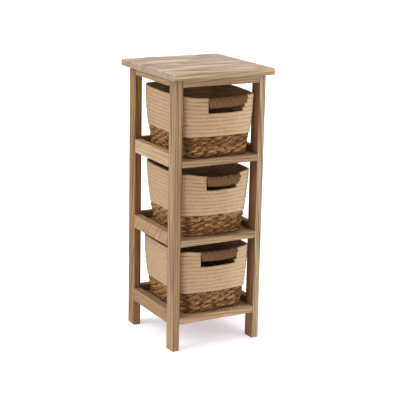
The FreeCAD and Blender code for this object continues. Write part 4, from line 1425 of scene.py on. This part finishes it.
class STAND_OT_grips(bpy.types.Operator):
    """Model the grips: a bundled core and the twine that is wound round it"""

    bl_idname = "stand.grips"
    bl_label = "Make the grips"

    def execute(self, context):
        weave = context.scene.stand_weave
        colours = context.scene.stand_colours
        twine = twine_finish()
        inner = seagrass_finish("grip_bundle", colours.rope_groove, toned(colours.twine, BUNDLE_SHADE))
        chance = random.Random(5)
        inward = weave.twine_thickness / 2 - TWINE_LOOSENESS
        rise, reach = GRIP_HALF_HEIGHT - inward, GRIP_HALF_DEPTH - inward
        for tier in TIERS:
            form = BasketForm(tier)
            core = self.core(form, rise)
            settle(core, form.body, "rope", inner, f"{tier}_grip_core")
            winding = self.winding(form, rise, reach, weave, chance)
            settle(winding, form.body, "twine", twine, f"{tier}_grip_twine")
        return {"FINISHED"}

    @staticmethod
    def core(form, rise):
        """Three rope rows that run on through the grip, pressed together."""
        left, right = form.gap
        span = right - left + 2 * GRIP_LAP
        made = []
        for row in BUNDLE_ROWS:
            points = []
            for index in range(BUNDLE_STEPS + 1):
                point = form.grip_line(left - GRIP_LAP + span * index / BUNDLE_STEPS)
                draw, lift = form.grip_end(point.x)
                points.append(point + Vector((0, 0, row * draw * BUNDLE_PITCH + lift * rise)))
            length = run_length(points, False)
            piece = strand("bundle", *BUNDLE_SIZE, BUNDLE_SECTION, length, round(length / BUNDLE_LAY))
            note_value(piece, "tint", BUNDLE_TINT)
            round_ends(piece, length, BUNDLE_ROUNDING)
            follow(piece, points, False)
            made.append(piece)
        return join(made, f"{form.tier}_grip_bundle")

    @staticmethod
    def winding(form, rise, reach, weave, chance):
        """The twine: slightly slanting turns along the grip, drawn in at both ends."""
        thick = weave.twine_thickness
        left, right = form.gap[0] - GRIP_LAP, form.gap[1] + TWINE_OVERRUN
        room = right - left - thick
        turns = round(room / (thick * TWINE_SPACING) - 0.5) + 0.5
        slants = [chance.uniform(*TWINE_SLANTS) for turn in range(int(turns) + 2)]
        points = []
        for index in range(int(turns * TWINE_STEPS) + 1):
            angle = TURN * (index / TWINE_STEPS - 0.25)
            run = thick / 2 + room * index / (turns * TWINE_STEPS)
            middle = form.grip_line(left + run)
            first = domed(GRIP_START_LEAST, run, GRIP_START_DOME)
            last, lift = form.grip_end(middle.x)
            middle.z += lift * rise
            turn, share = divmod(index / TWINE_STEPS, 1)
            slant = slants[int(turn)] * (1 - share) + slants[int(turn) + 1] * share
            points.append(middle + first * last * Vector((
                -slant * math.cos(angle), -reach * math.sin(angle), rise * math.cos(angle))))
        length = run_length(points, False)
        piece = strand("twine", thick, thick, TWINE_SECTION, length, round(length / weave.twine_lay))
        round_ends(piece, length, TWINE_ROUNDING)
        follow(piece, points, False, "MINIMUM")
        note_value(piece, "tint", TWINE_TINT)
        return join([piece], f"{form.tier}_grip_winding")


class STAND_OT_stage(bpy.types.Operator):
    """Set up the pale floor, the soft lights and the camera"""

    bl_idname = "stand.stage"
    bl_label = "Set the stage"

    AZIMUTH = -0.50918
    ELEVATION = 0.25159
    ROLL = 0.02049
    DISTANCE = 3.65447
    TARGET = (0.018825, 0, 0.39662)
    LENS = 112.218
    SENSOR = 36
    FLOOR_SIZE = 40
    FLOOR_CUTS = 7
    # Where each light comes from, how far away it hangs, and how much narrower the small one is
    LEFT = (-0.75, 0.12, 0.65)
    FRONT = (0.35, -0.72, 0.60)
    TOP = (0.05, 0.1, 1)
    EYE = (-0.48, -0.86, 0.19)
    LAMP_DISTANCE = 4
    EYE_BREADTH_SHARE = 0.25
    WHITE = (1, 1, 1)

    def execute(self, context):
        self.floor()
        self.lights(context.scene.stand_studio)
        self.camera(context.scene)
        context.scene.view_settings.view_transform = "Standard"
        context.scene.view_settings.gamma = context.scene.stand_studio.contrast
        return {"FINISHED"}

    def floor(self):
        start_afresh()
        bpy.ops.mesh.primitive_plane_add(size=self.FLOOR_SIZE)
        floor = bpy.context.object
        floor.name = "floor"
        with editing(floor):
            bpy.ops.mesh.subdivide(number_cuts=self.FLOOR_CUTS)
        floor.data.materials.append(floor_finish())

    def lights(self, studio):
        world = bpy.data.worlds.new("white_room")
        world.use_nodes = True
        sky = world.node_tree.nodes["Background"]
        sky.inputs["Color"].default_value = (*studio.sky_colour, 1)
        sky.inputs["Strength"].default_value = studio.sky
        bpy.context.scene.world = world
        narrow = studio.breadth * self.EYE_BREADTH_SHARE
        lamps = (
            ("left_light", self.LEFT, studio.left_light, studio.breadth, self.WHITE),
            ("front_light", self.FRONT, studio.front_light, studio.breadth, self.WHITE),
            ("top_light", self.TOP, studio.top_light, studio.breadth, self.WHITE),
            ("eye_light", self.EYE, studio.eye_light, narrow, studio.eye_colour),
        )
        for name, place, strength, breadth, colour in lamps:
            turn = (-Vector(place)).to_track_quat("-Z", "Y").to_euler()
            bpy.ops.object.light_add(type="SUN", location=Vector(place) * self.LAMP_DISTANCE, rotation=turn)
            lamp = bpy.context.object
            lamp.name = name
            lamp.data.energy = strength
            lamp.data.angle = breadth
            lamp.data.color = colour

    def camera(self, scene):
        azimuth, elevation = self.AZIMUTH, self.ELEVATION
        back = Vector((
            math.sin(azimuth) * math.cos(elevation),
            -math.cos(azimuth) * math.cos(elevation),
            math.sin(elevation),
        ))
        right = (-back).cross(Vector((0, 0, 1))).normalized()
        upward = right.cross(-back)
        turned_right = right * math.cos(self.ROLL) + upward * math.sin(self.ROLL)
        turned_up = upward * math.cos(self.ROLL) - right * math.sin(self.ROLL)
        axes = Matrix((turned_right, turned_up, back)).transposed()
        start_afresh()
        bpy.ops.object.camera_add(
            location=Vector(self.TARGET) + back * self.DISTANCE, rotation=axes.to_euler())
        camera = bpy.context.object
        camera.name = "photo_camera"
        camera.data.sensor_width = self.SENSOR
        camera.data.lens = self.LENS
        scene.camera = camera


class STAND_PT_panel(bpy.types.Panel):
    """Lists the steps that dress the stand"""

    bl_idname = "STAND_PT_panel"
    bl_label = "Basket stand"
    bl_space_type = "VIEW_3D"
    bl_region_type = "UI"
    bl_category = "Basket stand"

    def draw(self, context):
        scene = context.scene
        for group in (scene.stand_colours, scene.stand_weave, scene.stand_studio):
            for name in group.__annotations__:
                self.layout.prop(group, name)
        for step in STEPS:
            self.layout.operator(step.bl_idname)


STEPS = (
    STAND_OT_wood,
    STAND_OT_screws,
    STAND_OT_rope_walls,
    STAND_OT_seagrass,
    STAND_OT_bases,
    STAND_OT_grips,
    STAND_OT_stage,
)
GROUPS = {"stand_colours": StandColours, "stand_weave": StandWeave, "stand_studio": StandStudio}


def register():
    for kind in (*GROUPS.values(), *STEPS, STAND_PT_panel):
        bpy.utils.register_class(kind)
    for name, kind in GROUPS.items():
        setattr(bpy.types.Scene, name, bpy.props.PointerProperty(type=kind))


def unregister():
    for name in GROUPS:
        delattr(bpy.types.Scene, name)
    for kind in reversed((*GROUPS.values(), *STEPS, STAND_PT_panel)):
        bpy.utils.unregister_class(kind)


def main():
    register()
    bpy.ops.stand.wood()
    bpy.ops.stand.screws()
    bpy.ops.stand.rope_walls()
    bpy.ops.stand.seagrass()
    bpy.ops.stand.bases()
    bpy.ops.stand.grips()
    bpy.ops.stand.stage()


if __name__ == "__main__":
    main()
